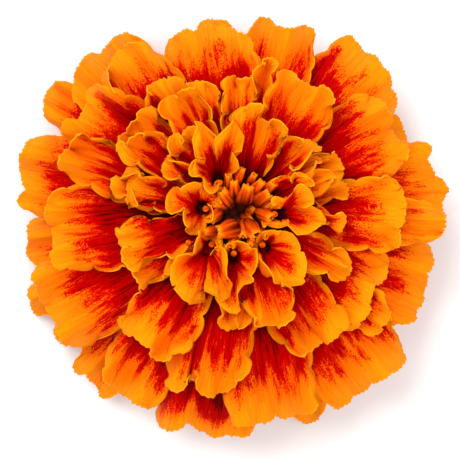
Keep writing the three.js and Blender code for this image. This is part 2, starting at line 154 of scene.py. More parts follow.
# level, direction, half spread, then reaches
RAY_PETALS = [
    # the skirt that shows between the petals above it
    (0, 27, 10, 20.0, 23.7, 24.7, 24.7, 23.7, 20.0),
    (0, 98, 9, 22.0, 25.1, 26.0, 25.1, 22.0),
    (0.3, 126, 8.5, 24.0, 27.6, 28.5, 28.4, 27.6, 24.7),
    (0.2, 149, 8, 25.3, 29.6, 30.1, 30.1, 28.5, 24.7),
    (0.2, 189, 9, 25.3, 27.7, 28.5, 28.5, 28.9, 28.0, 25.3),
    (0, 204, 6.5, 27.3, 30.0, 30.5, 30.3, 28.0),
    (0, 215, 5, 27.3, 29.5, 29.7, 28.0),
    (0.2, 229, 8.5, 27.3, 30.4, 30.1, 30.3, 30.8, 28.7),
    (0, 289, 7.5, 26.7, 28.9, 29.9, 29.5, 26.7),
    # the outline of the head
    (1, 8, 15, 22.7, 27.2, 27.3, 28.1, 26.8, 26.3, 26.7, 24.0),
    (1, 46, 17, 22.7, 25.3, 26.4, 27.1, 27.4, 27.2, 27.6, 23.3),
    (1, 76, 13, 22.0, 25.7, 26.1, 25.2, 25.3, 25.9, 25.1, 22.0),
    (1, 139, 9.5, 25.3, 28.5, 28.9, 28.4, 28.0, 26.7, 23.7),
    (1, 169.5, 12, 26.0, 29.5, 29.7, 29.9, 29.3, 28.8, 29.2, 26.7),
    (1, 238, 11.5, 24.7, 28.0, 28.9, 28.7, 29.1, 29.1, 28.8, 25.3),
    (0.8, 261, 16, 25.3, 30.0, 30.7, 29.2, 29.9, 30.4, 29.9, 29.9, 26.0),
    (1.1, 309, 17, 25.3, 29.1, 29.6, 29.2, 29.1, 29.6, 30.0, 29.6, 26.7, 24.0),
    (0.9, 338, 15, 25.3, 27.6, 27.3, 27.3, 26.8, 26.7, 26.3, 24.0),
    (1.4, 356, 7, 24.0, 27.1, 27.3, 27.3, 24.7),
    (1.5, 99, 17.5, 20.0, 22.7, 23.7, 24.7, 24.9, 24.5, 24.9, 24.7, 21.3),
    (1.6, 208, 15, 24.7, 28.3, 28.9, 28.9, 28.3, 29.1, 29.1, 25.3),
    (1.7, 280, 15, 24.0, 28.1, 28.7, 28.4, 27.7, 28.4, 28.3, 27.9, 24.0),
    # the second layer
    (2, 126, 12.5, 20.0, 24.3, 26.1, 26.3, 26.1, 25.3, 21.3),
    (1.8, 322, 8, 21.3, 24.5, 24.7, 24.1, 22.0),
    (2.2, 29, 18, 19.3, 22.7, 23.5, 23.3, 23.2, 23.7, 23.9, 22.7, 18.7),
    (2, 147, 14.5, 20.0, 24.3, 25.1, 24.8, 24.5, 25.5, 25.2, 21.3),
    (2.2, 187, 16.5, 20.7, 24.8, 25.5, 25.1, 24.8, 25.3, 25.3, 23.7, 19.3),
    (2.6, 357.5, 15, 18.0, 21.5, 21.6, 21.5, 21.9, 22.1, 22.1, 20.0),
    (2.4, 329, 20, 18.7, 21.9, 22.1, 21.3, 20.8, 21.2, 21.1, 20.0, 17.3),
    (2.8, 259.5, 17, 20.0, 24.3, 24.7, 23.3, 24.5, 24.5, 23.7, 21.3, 18.0),
    # the third layer
    (3, 302.5, 15, 18.0, 20.7, 20.8, 20.3, 21.2, 21.3, 20.8, 18.0),
    (3, 162, 11.5, 18.0, 22.4, 23.9, 24.3, 24.1, 22.0, 17.3),
    (3.2, 234, 15.5, 17.3, 21.1, 21.7, 21.9, 21.6, 22.0, 21.7, 20.0),
    (3.2, 60, 16, 16.0, 19.3, 19.7, 19.5, 18.8, 19.3, 19.5, 19.1, 16.0),
    (3, 122, 12, 15.3, 19.3, 19.9, 19.7, 19.9, 19.3, 16.7),
    (3, 79, 5.5, 16.0, 19.6, 20.0, 19.7, 16.7),
    (3.6, 90, 9.5, 14.0, 17.6, 17.2, 17.5, 17.9, 16.3, 13.3),
    (3.4, 107, 7.5, 14.0, 17.6, 17.9, 17.9, 16.0),
    # the fourth layer
    (4, 118, 11.5, 13.3, 16.8, 17.5, 17.6, 17.3, 16.8, 14.0),
    (3.8, 142, 15, 14.0, 17.3, 17.7, 18.3, 18.3, 17.7, 17.6, 14.7),
    (4.4, 147, 11.5, 12.7, 15.7, 16.8, 17.3, 17.5, 16.3, 12.7),
    (4, 166, 12, 12.0, 15.2, 16.1, 16.5, 16.3, 15.5, 12.7),
    (4, 211, 11, 12.7, 15.9, 16.4, 16.4, 16.0, 15.9, 13.3),
    (4, 268, 9.5, 12.0, 14.9, 15.6, 15.7, 15.3, 12.7),
    (4.2, 331, 10.5, 12.7, 15.9, 16.4, 16.3, 15.6, 12.7),
    (4, 12, 9, 11.3, 13.7, 14.1, 14.0, 12.0),
    (4.2, 25, 9, 12.0, 14.4, 15.2, 15.2, 14.7, 12.0),
    # the fifth layer, more upright and more closely ruffled
    (5, 199, 13.5, 11.3, 16.3, 16.7, 15.9, 15.6, 15.7, 15.2, 12.0),
    (5, 168, 12, 10.0, 13.1, 14.3, 15.1, 14.9, 13.9, 10.7),
    (4.6, 227, 9, 10.7, 13.3, 12.5, 12.4, 12.4, 10.4),  # the lower one
    (5, 286.5, 14.5, 11.3, 14.5, 15.1, 14.9, 15.9, 16.4, 16.0, 12.0),
    (5, 354.5, 7.5, 10.0, 12.8, 13.3, 13.5, 12.8, 10.0),
    (5, 18.5, 9, 9.3, 12.0, 12.9, 13.1, 12.3, 9.3),
    (5.3, 46, 11.5, 9.3, 12.8, 13.1, 12.5, 12.7, 11.7, 8.7),
    (5.1, 31, 7.5, 8.7, 11.7, 12.1, 11.9, 9.3),
    (6, 22, 15, 6.4, 8.3, 9.3, 10.0, 9.9, 9.1, 6.7),
    (5.6, 75, 19, 8.7, 12.1, 12.9, 12.7, 11.9, 13.7, 14.1, 13.6, 10.0),
    (5.2, 127, 11.5, 9.3, 12.1, 12.7, 12.4, 12.9, 12.4, 9.6),
    (5.7, 146, 9, 8.3, 11.5, 11.2, 10.8, 10.4, 8.0),
]
# the petals under the head whose tips lie on the floor: direction and reach
RESTING_PETALS = [
    (8, 24.5), (52, 24.0), (76, 22.5), (113, 22.5), (168, 26.5),
    (245, 26.5), (268, 26.0), (309, 26.5), (333, 25.0),
]
RESTING_TIP = (0.84, 0.97, 1, 0.98, 0.86)  # and how much of it each step across the petal has
RESTING_LEVEL = -0.5
RESTING_SPREAD = 11
# throat: distance, direction and height, then where the limb faces and its reaches all round
TRUMPETS = [
    (4.7, 177, 19.9, 177, 1.2, 1.5, 2.2, 3.1, 4.2, 4.4, 3.9, 3.6, 3.7, 2.4, 1.5, 1.2),
    (4.8, 124, 19.6, 97, 1.2, 1.3, 1.5, 1.9, 3.0, 7.2, 8.5, 6.0, 3.2, 1.6, 1.3, 1.2),
    (5.9, 305, 19.6, 315, 1.6, 1.5, 1.5, 1.8, 2.6, 4.9, 6.7, 6.4, 3.6, 3.5, 2.8, 1.8),
    (5.2, 354, 19.7, 0, 1.4, 1.4, 1.4, 1.6, 2.4, 4.3, 6.2, 5.0, 3.5, 2.8, 2.2, 1.6),
    (6.1, 264, 19.3, 268, 2.2, 2.3, 2.4, 2.6, 4.6, 5.0, 6.8, 4.9, 3.2, 2.1, 2.1, 2.2),
    (6.1, 232, 19.1, 255, 1.5, 1.5, 1.6, 2.0, 3.4, 7.2, 8.9, 8.0, 3.6, 1.8, 1.5, 1.5),
]

# %% [markdown]
# ## One petal as a formula
#
# A petal could be sculpted by hand, but there are more than seventy. Here it is a fan of veins. Each vein
# leaves its root at a slope, bends evenly towards another slope at the tip, and is as long as it must be to
# reach its place on the margin. Neighbouring veins bend a little differently, and that is the ruffle.
#
# What differs from petal to petal without a plan is drawn by chance. Each draw is worked out from the number
# of the petal, and a fraction added to that number gives the same petal another draw.

# %% Helpers for tables
SHARES = np.arange(GRID + 1) / GRID
SHUFFLE = (127.1, 43758.5453)  # any two large numbers that share no step
WAVE_START = 9  # more than a full turn in radians, so that a wave can start anywhere


def chance(n):
    """A repeatable number from 0 to 1 for each number."""
    x = math.sin(n * SHUFFLE[0]) * SHUFFLE[1]
    return x - math.floor(x)


def drawn(least, more, n):
    """A repeatable number from least to so much more."""
    return least + more * chance(n)


def phase(n):
    """Where a wave starts, in radians."""
    return WAVE_START * chance(n)


def smooth_step(x, low, width):
    """0 up to low, 1 from so much further on, and a smooth step between them."""
    t = np.clip((x - low) / width, 0, 1)
    return t * t * (3 - 2 * t)


def hill(x, place, width):
    """1 at a place, and next to nothing two widths away from it."""
    return np.exp(-(((x - place) / width) ** 2))


def along(values, t):
    """The values at shares t along an evenly spaced table, on a smooth curve."""
    values = np.asarray(values, float)
    last = len(values) - 1
    x = np.clip(t, 0, 1) * last
    i = np.minimum(x.astype(int), last - 1)
    f = x - i
    a, b = values[i], values[i + 1]
    slope_a = (b - values[np.maximum(i - 1, 0)]) / 2
    slope_b = (values[np.minimum(i + 2, last)] - a) / 2
    square = 3 * (b - a) - 2 * slope_a - slope_b
    cube = 2 * (a - b) + slope_a + slope_b
    return a + f * slope_a + f**2 * square + f**3 * cube


def at_level(level):
    """Root radius, root height and both slopes, between the rows of LEVELS."""
    rows = sorted(LEVELS)
    return [float(np.interp(level, rows, [LEVELS[row][k] for row in rows])) for k in range(4)]


print("the first draws:", [round(chance(n), 2) for n in range(5)])

# %% The description of a petal
TAU = 2 * math.pi
CUPPED_FROM = 3  # level above which the sides of a petal rise
THROAT = 0.85  # radius of a trumpet's throat
TUBE_SLOPE = 84
LIMB_SLOPES = (62, -14)  # slope of a trumpet's edge where its limb is short, and where it is long
LONG_LIMB = 6
LIMB_RUFFLE = 24
LIMB_WAVES = 3
TRUMPET_LEVEL = 7


def ray_petal(row, n):
    level, heading, spread, *reaches = row
    throat, z, slope_in, slope_out = at_level(level)
    size = RUFFLE["size"] + RUFFLE["more"] * max(level, 0)
    return {
        "n": n, "level": level, "heading": heading, "spread": spread, "reaches": reaches, "closed": False,
        "centre": (0, 0), "throat": throat, "z": z, "slope_in": slope_in, "slope_out": slope_out,
        "cup": CUPPING * max(level - CUPPED_FROM, 0),
        "ruffle": (size, drawn(*RUFFLE_WAVES, n), TAU * chance(n + 0.3)),
    }


def trumpet(row, n):
    distance, direction, z, heading, *reaches = row
    turn = math.radians(direction)
    return {
        "n": n, "level": TRUMPET_LEVEL, "heading": heading, "spread": 180, "reaches": [*reaches, reaches[0]],
        "closed": True, "centre": (distance * math.cos(turn), distance * math.sin(turn)), "throat": THROAT,
        "z": z, "slope_in": TUBE_SLOPE, "slope_out": 0, "cup": 0,
        "ruffle": (LIMB_RUFFLE, LIMB_WAVES, TAU * chance(n)),
    }


PETALS = [ray_petal(row, n) for n, row in enumerate(RAY_PETALS)]
for heading, reach in RESTING_PETALS:
    reaches = [share * reach for share in RESTING_TIP]
    PETALS.append(ray_petal((RESTING_LEVEL, heading, RESTING_SPREAD, *reaches), len(PETALS)))
PETALS += [trumpet(row, n) for n, row in enumerate(TRUMPETS)]
print(len(PETALS), "petals")

# %% Curls and clefts
CURLS = {  # level and direction of a petal: place across, half width, turn in degrees, share where it starts
    (2, 126): ((0.75, 0.25, 130, 0.72),),
    (2.8, 259.5): ((-0.27, 0.10, 150, 0.75),),
    (3, 302.5): ((-0.6, 0.2, 80, 0.7),),
    (3, 162): ((-0.55, 0.2, 130, 0.7),),
    (3.2, 234): ((0.58, 0.15, 120, 0.75),),
    (3, 79): ((0.0, 0.5, 120, 0.65),),
    (4, 211): ((0.2, 0.3, 60, 0.7),),
    (7, 97): ((0.24, 0.09, 130, 0.45),),
    (7, 315): ((-0.24, 0.09, 120, 0.5),),
}
ROLL = 1.3  # how much sooner than the margin a curl has its full turn
LEAST_CURLED = 2.5  # the lowest level with curls that are left to chance
LEAST_SPREAD = 11  # and the least half spread of such a petal
CHANCE_CURLS = 2  # such curls on each petal
CURL_PLACES = 1.3  # how much of the width, which is 2, their places are drawn from
CURL_WIDTH = (0.22, 0.15)  # their half width: the least, and how much more is drawn
CURL_TURN = (40, 50)  # and so their turn in degrees
CURL_START = 0.7  # share of the petal where they start
CLEFTS = {  # level and direction of a petal: place across, half width, depth in mm, less than 0 for a lobe
    (7, 177): ((0.1, 0.05, 1.3), (0.52, 0.06, 0.9), (-0.42, 0.05, 0.7), (-0.8, 0.1, -0.8), (0.8, 0.1, -1.0)),
    (7, 97): ((-0.03, 0.05, 3.6), (0.2, 0.05, 1.6), (-0.3, 0.06, 1.0), (0.7, 0.1, -0.8)),
    (7, 315): ((0.21, 0.045, 1.6), (-0.08, 0.045, 1.4), (0.42, 0.05, 0.9), (-0.6, 0.1, -0.7)),
    (7, 0): ((0.08, 0.045, 1.7), (-0.25, 0.05, 1.0), (0.4, 0.05, 1.0), (-0.8, 0.1, -0.6)),
    (7, 268): ((0.1, 0.045, 1.7), (-0.15, 0.045, 1.1), (0.6, 0.1, -0.7)),
    (7, 255): ((0.06, 0.045, 4.2), (-0.14, 0.045, 1.5), (0.22, 0.05, 1.5), (-0.7, 0.1, -0.8)),
}
print(len(CURLS), "petals with curls of their own and", len(CLEFTS), "with clefts")


def chance_curls(petal):
    """Places where the margin of an upper petal curls up, drawn for each petal."""
    n = petal["n"]
    if petal["closed"] or petal["level"] < LEAST_CURLED or petal["spread"] < LEAST_SPREAD:
        return ()
    return [
        (
            drawn(-CURL_PLACES / 2, CURL_PLACES, n + 0.13 + k),
            drawn(*CURL_WIDTH, n + 0.66 + k),
            drawn(*CURL_TURN, n + 0.4 + k),
            CURL_START,
        )
        for k in range(CHANCE_CURLS)
    ]


# %% Teeth of the margin
TOOTH = 0.09  # size of the teeth of a margin
LEAST_TOOTH = 0.4  # and the least share of it that a tooth has
SCALLOP = 0.12  # size of the notches between groups of teeth
SCALLOPS = (3.1, 2)  # half waves of them over half a petal: the least, and how many more are drawn
SCALLOP_BEAT = 2.3  # and how much shorter the waves are that break them up
FULL_TEETH = 14  # mean reach from which a petal has its teeth in full


def margin_teeth(petal, u):
    """How far each vein stands out of or back from the smooth margin."""
    k = np.arange(len(u))
    draw = np.array([chance(petal["n"] * 7.3 + 0.17 * i + petal["level"]) for i in k])
    teeth = TOOTH * (LEAST_TOOTH + draw) * np.where(k % 2, 1, -1)
    turns = drawn(*SCALLOPS, petal["n"] + 0.7) * np.pi * u
    scallops = np.sin(turns + petal["n"]) * np.sin(SCALLOP_BEAT * turns + 2 * petal["n"])
    small = min(1, np.mean(petal["reaches"]) / FULL_TEETH)
    return (teeth + SCALLOP * scallops) * small


# %% The surface of a petal
RIPPLES = (2.4, 1.4)  # half waves of small ruffles over half a petal: the least, and how many more are drawn
FINE_RUFFLE = 0.55  # size of the small ruffles, as a share of the large ones
FULL_RIPPLES = 3  # level of the petals that have them in that size
RIPPLE_LIMITS = (0.3, 1.5)  # and the least and the most of it on lower and higher ones
TRUMPET_RIPPLES = 5  # on a trumpet's limb there are so many
TRUMPET_RIPPLE = 1.7  # which are so much larger
FOLDED = 1.6  # how much deeper a trumpet's large folds are in the finished petal
LONG_FOLD = 4  # reach of a limb from which it is folded in full, in mm
LEAST_FOLD = 0.3  # and the share of the folds that the shortest limb has
STEEPEST = -48  # slope below which only a petal hangs that is meant to, and that one by a little
STEEPER = 6
ROOT_SHAPES = {  # width of the root as a share of the full spread, and how slowly the petal widens
    True: (0.3, 1.05),  # finished
    False: (0.15, 1.3),  # in the solid model
}


def fold(petal, u, s, slope, bend, reach):
    """The slopes of a petal with its small ruffles and its curls."""
    n = petal["n"]
    turns = np.pi * u * drawn(*RIPPLES, n + 0.9)
    ripples = np.sin(turns + phase(n + 0.4))
    if petal["closed"]:
        long = np.clip(reach / LONG_FOLD, LEAST_FOLD, 1)
        ripples = TRUMPET_RIPPLE * long * np.sin(np.pi * u * TRUMPET_RIPPLES + n)
        slope = slope + np.outer((FOLDED - 1) * long * bend, s**RUFFLE_RAMP)
    size = FINE_RUFFLE * petal["ruffle"][0]
    slope = slope + np.outer(size * ripples * np.clip(petal["level"] / FULL_RIPPLES, *RIPPLE_LIMITS), s**3)
    slope = np.maximum(slope, min(STEEPEST, petal["slope_out"] - STEEPER))
    for place, width, angle, start in CURLS.get((petal["level"], petal["heading"]), chance_curls(petal)):
        roll = np.clip((s - start) / (1 - start) * ROLL, 0, 1)
        slope += angle * np.outer(hill(u, place, width), roll)
    return slope


def petal_surface(petal, u, shares, fine):
    """Points of the petal's middle surface from its axis in mm, as an array of veins by steps by x, y, z."""
    s = (shares[1:] + shares[:-1]) / 2
    step = np.diff(shares)
    reach = along(petal["reaches"], (u + 1) / 2)
    size, waves, shift = petal["ruffle"]
    bend = size * np.sin(np.pi * waves * u + shift)
    ends = np.full_like(u, petal["slope_out"])
    if petal["closed"]:
        ends = np.interp(np.minimum(reach, LONG_LIMB), (1, LONG_LIMB), LIMB_SLOPES)
    slope = petal["slope_in"] + np.outer(ends - petal["slope_in"], s) + petal["cup"] * np.outer(u**2, 1 - s)
    plain_run = (np.cos(np.radians(slope)) * step).sum(1)
    slope += np.outer(bend, s**RUFFLE_RAMP)
    if fine:
        slope = fold(petal, u, s, slope, bend, reach)
        reach = reach + margin_teeth(petal, u)
        for place, width, depth in CLEFTS.get((petal["level"], petal["heading"]), ()):
            reach -= depth * hill(u, place, width)
    steps = np.radians(slope)
    run = np.concatenate([np.zeros((len(u), 1)), np.cumsum(np.cos(steps) * step, 1)], 1)
    rise = np.concatenate([np.zeros((len(u), 1)), np.cumsum(np.sin(steps) * step, 1)], 1)
    out = petal["throat"] + run * ((reach - petal["throat"]) / run.max(1))[:, None]
    scale = ((reach - petal["throat"]) / (plain_run if fine else run[:, -1]))[:, None]
    turn = np.radians(petal["heading"] + petal["spread"] * np.outer(u, widening(petal, shares, fine)))
    x = petal["centre"][0] + out * np.cos(turn)
    y = petal["centre"][1] + out * np.sin(turn)
    return np.stack([x, y, petal["z"] + rise * scale], -1)


def widening(petal, shares, fine):
    """How wide the petal is at each step of its length, as a share of its full spread seen from the axis."""
    if petal["closed"]:
        return np.ones(len(shares))
    tip = float(along(petal["reaches"], np.array([0.5]))[0])
    here = petal["throat"] + (tip - petal["throat"]) * shares
    claw, bulge = ROOT_SHAPES[fine]
    return (claw + (1 - claw) * np.sin(np.pi / 2 * shares) ** bulge) * tip / here


# %% [markdown]
# ## Laying the petals on one another
#
# Thin sheets that are drawn one by one cut through each other. On the flower they can't: each rests on the
# ones below. So the petals are settled from the lowest to the highest. A coarse height map, one cell per
# millimetre, remembers how high the settled ones stand, and the next petal is raised just enough to clear it.

# %% Settle the petals
MAP_HALF = 40  # half the side of the height map, in cells of 1 mm
NOTHING = -1e6  # height of a cell that nothing stands on
RAISED_FROM = (0.05, 0.4)  # share of a petal where it begins to be raised, and over how much of it in full
SOFTENED = 2  # how often the raising is evened out


def neighbours(grid, closed):
    """The nine copies of a grid, each shifted by one step or none."""
    sides = "wrap" if closed else "edge"
    core = grid[:-1] if closed else grid
    wide = np.pad(np.pad(core, ((1, 1), (0, 0)), sides), ((0, 0), (1, 1)), "edge")
    n, m = core.shape
    shifted = np.array([wide[a:a + n, b:b + m] for a in range(3) for b in range(3)])
    return np.concatenate([shifted, shifted[:, :1]], 1) if closed else shifted


def cells(points):
    """The cells of the height map that the points stand over."""
    at = np.floor(points[..., :2] + 0.5).astype(int) + MAP_HALF
    return at[..., 0], at[..., 1]


def settle(petal, heights):
    """How far each point of the petal has to rise, and the height map with the petal on it."""
    points = petal_surface(petal, np.linspace(-1, 1, GRID + 1), SHARES, fine=False)
    fade = smooth_step(SHARES, *RAISED_FROM)
    need = fade * np.maximum(0, heights[cells(points)] + CLEARANCE - points[..., 2])
    need = neighbours(need, petal["closed"]).max(0)
    for _ in range(SOFTENED):
        need = neighbours(need, petal["closed"]).mean(0)
    top = np.maximum(points[..., 2] + need, BLADE / 2)
    np.maximum.at(heights, cells(points), top)
    return top - points[..., 2]


height_map = np.full((2 * MAP_HALF, 2 * MAP_HALF), NOTHING)
for petal in sorted(PETALS, key=lambda petal: (petal["level"], PETALS.index(petal))):
    petal["lift"] = settle(petal, height_map)
print("highest margin", round(float(height_map.max()), 1), "mm")

# %% [markdown]
# ## The finished petals
#
# The petals so far are those of the solid model. The finished ones have finer steps, and their margins ruffle
# all the way round, as cloth ruffles where its edge is longer than its middle. So the ruffles run along the
# margin, up and down and in and out, and fade towards the heart of the petal.

# %% The way round a margin
STEPS = 36  # steps along a petal in the finished mesh
CROWDING = 0.6  # how much longer than even the steps are at the root, and shorter near the tip
even_steps = np.arange(STEPS + 1)
FINE_SHARES = even_steps / STEPS * (1 + CROWDING - CROWDING * even_steps / STEPS)
HEART = 17  # step along a petal that its ruffles run round
LIMB_DEPTH = 0.75  # how far in from the margin the ruffles reach, as a share of the way to the heart
print(STEPS, "steps along a petal, the last", round(1 - FINE_SHARES[-2], 3), "of its length")


def round_the_limb(petal, points):
    """For each point: its place along the margin in mm, and how near the margin it is, from 0 to 1."""
    flat = points[..., 0] + 1j * points[..., 1]
    if petal["closed"]:
        rim = np.concatenate([[0], np.cumsum(np.abs(np.diff(flat[:, -1])))])
        return np.repeat(rim[:, None], STEPS + 1, 1), np.repeat(FINE_SHARES[None], len(flat), 0)
    heart = flat[len(flat) // 2, HEART]
    ahead = np.exp(1j * math.radians(petal["heading"]))
    flat = (flat - heart) / ahead
    border = np.concatenate([flat[0, 2:], flat[1:-1, -1], flat[-1, :1:-1]])
    turns = np.unwrap(np.angle(border))
    order = np.argsort(turns)
    places = np.concatenate([[0], np.cumsum(np.abs(np.diff(border)))])
    turn = np.angle(flat)
    gap = np.interp(turn, turns[order], np.abs(border)[order]) - np.abs(flat)
    near = np.clip(1 - gap / (LIMB_DEPTH * abs(border).mean()), 0, 1)
    return np.interp(turn, turns[order], places[order]), near


# %% Ruffles round the margin
WAVE_LEVELS = (1, 3, 5, 7)  # the rows below give the size of the ruffles at these levels, in mm
WAVE_UP = (0.45, 1.0, 1.6, 2.1)
WAVE_OUT = (0.12, 0.35, 0.6, 0.7)
WAVE_NOTCH = (0.35, 0.7, 0.9, 0.8)
WAVE_NECK = (0.2, 0.5, 0.8, 0.75)  # how far the sides of a notch lean in over it
CRIMP = (0.1, 0.16, 0.2, 0.2)  # and the fine crimp of the last millimetre
CRIMP_LENGTH = 1.9
CRIMP_EDGE = 8  # how closely the crimp keeps to the margin
WAVE_LENGTH = (6.4, 2)  # the least, and how much more is drawn
TRUMPET_WAVE = 4.1  # length of one small lobe of a trumpet
TRUMPET_HEIGHTS = (0.5, 1.2)  # the least and the most of the full height on a short and a long limb
WAVE_FROM = (0.42, 0.4)  # share of a petal where it begins to ruffle, and over how much of it in full
WAVE_LIFT = 0.3  # how much more the ruffles rise than fall
HALF_WAVE = 0.35  # size of the waves of half the length
NOTCH_POWER = 0.7  # how sharp a notch is
NOTCH_MEAN = 0.7
NO_LENGTH = 1e-9  # keeps a way of no length from being divided by zero


def wave_margin(petal, points):
    """Ruffle the margin of a petal all the way round."""
    place, near = round_the_limb(petal, points)
    n = petal["n"]
    rows = (WAVE_UP, WAVE_OUT, WAVE_NOTCH, WAVE_NECK, CRIMP)
    height, sway, notch, neck, crimp = [np.interp(petal["level"], WAVE_LEVELS, row) for row in rows]
    length = drawn(*WAVE_LENGTH, n + 0.31)
    if petal["closed"]:
        length = TRUMPET_WAVE * 2
        place *= round(place.max() / length) * length / place.max()
        reach = along(petal["reaches"], np.linspace(0, 1, len(points)))[:, None]
        height *= np.clip(reach / LONG_FOLD, *TRUMPET_HEIGHTS)
    long_wave = TAU * place / length + phase(n + 0.83)
    first, share = WAVE_FROM
    fade = np.clip((FINE_SHARES - first) / share, 0, 1) * near**2
    up = height * (WAVE_LIFT + np.sin(long_wave) + HALF_WAVE * np.sin(2 * long_wave + phase(n + 0.29)))
    up += crimp * near**CRIMP_EDGE * np.sin(TAU * place / CRIMP_LENGTH + n)
    out = sway * np.cos(long_wave + phase(n + 0.37))
    out += notch * (np.abs(np.sin(long_wave)) ** NOTCH_POWER - NOTCH_MEAN)
    side = -neck * np.sin(2 * long_wave)
    heart = points[len(points) // 2, HEART] if not petal["closed"] else points[:-1, 0].mean(0)
    away = points[..., :2] - heart[:2]
    away /= np.linalg.norm(away, axis=-1)[..., None] + NO_LENGTH
    aside = np.stack([-away[..., 1], away[..., 0]], -1)
    points[..., :2] += away * (out * fade)[..., None] + aside * (side * fade * near)[..., None]
    points[..., 2] += up * fade


# %% Lay the finished petals on one another
FINE_CELL = 0.5  # side of a cell of the finished petals' height map
FINE_HALF = 72  # half the side of that map, in cells
FINE_GAP = 0.3  # between the middles of finished petals
MOST_LIFT = 3.0  # the most that a finished petal is lifted off the ones under it
LIFTED_FROM = {True: (0.1, 0.2), False: (0.3, 0.4)}  # as RAISED_FROM, for a trumpet and for an open petal
FINE_SOFTENED = 3
fine_heights = np.full((2 * FINE_HALF, 2 * FINE_HALF), NOTHING)


def rest_on(petal, points, heights):
    """Lift a ruffled petal where it would dip into the ones under it, and add it to the height map."""
    at = np.floor((points[..., :2] - AXIS) / FINE_CELL + 0.5).astype(int) + FINE_HALF
    at = (at[..., 0], at[..., 1])
    fade = smooth_step(FINE_SHARES, *LIFTED_FROM[petal["closed"]])
    need = fade * np.clip(heights[at] + FINE_GAP - points[..., 2], 0, MOST_LIFT)
    need = neighbours(neighbours(need, petal["closed"]).max(0), petal["closed"]).max(0)
    for _ in range(FINE_SOFTENED):
        need = neighbours(need, petal["closed"]).mean(0)
    points[..., 2] += need
    np.maximum.at(heights, at, points[..., 2])


# %% The points of a finished petal
SHEET = 0.17  # thickness of a petal
VEINS_PER_MM = 2.2  # pairs of them across a petal
VEIN_LIMITS = (17, 36)  # the least and the most pairs that a petal gets
CROWN = 27.5  # height that the tallest florets are brought down to
CROWN_STEP = 0.6  # and how much lower the petals of each level below them end
CROWN_ROOM = 0.7  # how much higher the highest margin can be


def cells_across(petal):
    width = TAU * petal["spread"] / 180 * np.mean(petal["reaches"])
    fewest, most = VEIN_LIMITS
    return 2 * round(min(max(width * VEINS_PER_MM, fewest), most))


def finished_points(petal):
    """Points of a petal as it lies on the others, as an array of veins by steps by x, y, z."""
    u = np.linspace(-1, 1, cells_across(petal) + 1)
    points = petal_surface(petal, u, FINE_SHARES, fine=True)
    lift = np.stack([np.interp((u + 1) / 2, SHARES, petal["lift"][:, j]) for j in range(GRID + 1)], -1)
    lift = np.stack([np.interp(FINE_SHARES, SHARES, row) for row in lift])
    points[..., 2] += lift
    wave_margin(petal, points)
    height = points[..., 2] - petal["z"]
    most = CROWN - CROWN_STEP * (TRUMPET_LEVEL - petal["level"]) - petal["z"]
    shorter = min(1, most / height.max())
    points[..., 2] = petal["z"] + np.where(height > 0, height * shorter, height)
    rest_on(petal, points, fine_heights)
    over = np.maximum(points[..., 2] - CROWN, 0)
    points[..., 2] += CROWN_ROOM * np.tanh(over / CROWN_ROOM) - over
    points[..., 2] = np.maximum(points[..., 2], SHEET / 2)
    points[..., :2] += AXIS
    return points


# %% [markdown]
# ## What the paint has to know
#
# A petal is painted by where a point lies on it. So each corner of the mesh carries its place across the
# petal and its ways to the tip and to the nearer side. Each petal also carries a draw of its own, the breadth
# of its margin and its reach.

# %% Marks for the paint
MARGINS = {  # level and direction of a petal, and how broad its orange margin is: 0 narrow, 1 broad
    (0.8, 261): -0.6, (1, 46): 0.5, (1.1, 309): 0.5, (1.6, 208): 0.6, (1.7, 280): 0.5, (1.8, 322): -0.5,
    (2, 126): 0.4, (2.2, 187): 0.2, (2.4, 329): -0.2, (2.8, 259.5): 0.6, (3, 79): 1.2, (3, 162): 0.6,
    (3, 302.5): 0.4, (3.2, 60): 0.7, (3.2, 234): 0.2, (4, 12): 1.0, (4, 118): 0.7, (4, 166): -0.4,
    (4, 211): 0.7, (4.2, 331): 0.7, (4.4, 147): 0.7, (5, 18.5): 1.2, (5, 168): 0.5, (5, 286.5): 0.7,
    (5, 354.5): -0.4, (5.1, 31): 1.2, (5.3, 46): 0.7, (5.6, 75): 0.8, (7, 177): 1.0, (7, 97): 0.9,
    (7, 315): 1.1, (7, 0): 1.0, (7, 268): 1.0, (7, 255): 1.0,
}
CLAW = 0.5  # share of a petal, from its root, that turns dark all across, in full over the inner half of it
CLAW_SIDE = 8.0  # which is done by taking it for so much further from the sides
NO_SIDE = 10.0  # the way to the sides on a trumpet's limb, which has none
EVEN_VEIN = 8.0  # length of the veins of a trumpet whose margin is as broad as on an open petal
EVENED = 0.35  # and how far the margins of longer and shorter veins are brought to that one


def petal_marks(petal, points):
    """For each point: place across, way to the tip and way to the nearer side, in mm."""
    along_vein = np.linalg.norm(np.diff(points, axis=1), axis=-1)
    to_tip = np.concatenate([np.cumsum(along_vein[:, ::-1], 1)[:, ::-1], np.zeros((len(points), 1))], 1)
    between = np.linalg.norm(np.diff(points, axis=0), axis=-1)
    from_low = np.concatenate([np.zeros((1, STEPS + 1)), np.cumsum(between, 0)], 0)
    claw = np.clip(2 - FINE_SHARES / CLAW * 2, 0, 1)
    to_side = np.minimum(from_low, from_low[-1] - from_low) + CLAW_SIDE * claw
    if petal["closed"]:
        to_side = np.full_like(to_side, NO_SIDE)
        to_tip *= (EVEN_VEIN / to_tip[:, :1]) ** EVENED
    across = np.repeat((from_low[:, -1] - from_low[-1, -1] / 2)[:, None], STEPS + 1, 1)
    return np.stack([across, to_tip, to_side], -1)


def own_marks(petal):
    """What is particular to the petal: a draw, the breadth of its margin, and its reach in mm."""
    margin = MARGINS.get((petal["level"], petal["heading"]), chance(petal["n"] + 0.57))
    return chance(petal["n"] + 0.21), margin, max(petal["reaches"])


print(len(MARGINS), "margins with a breadth of their own")

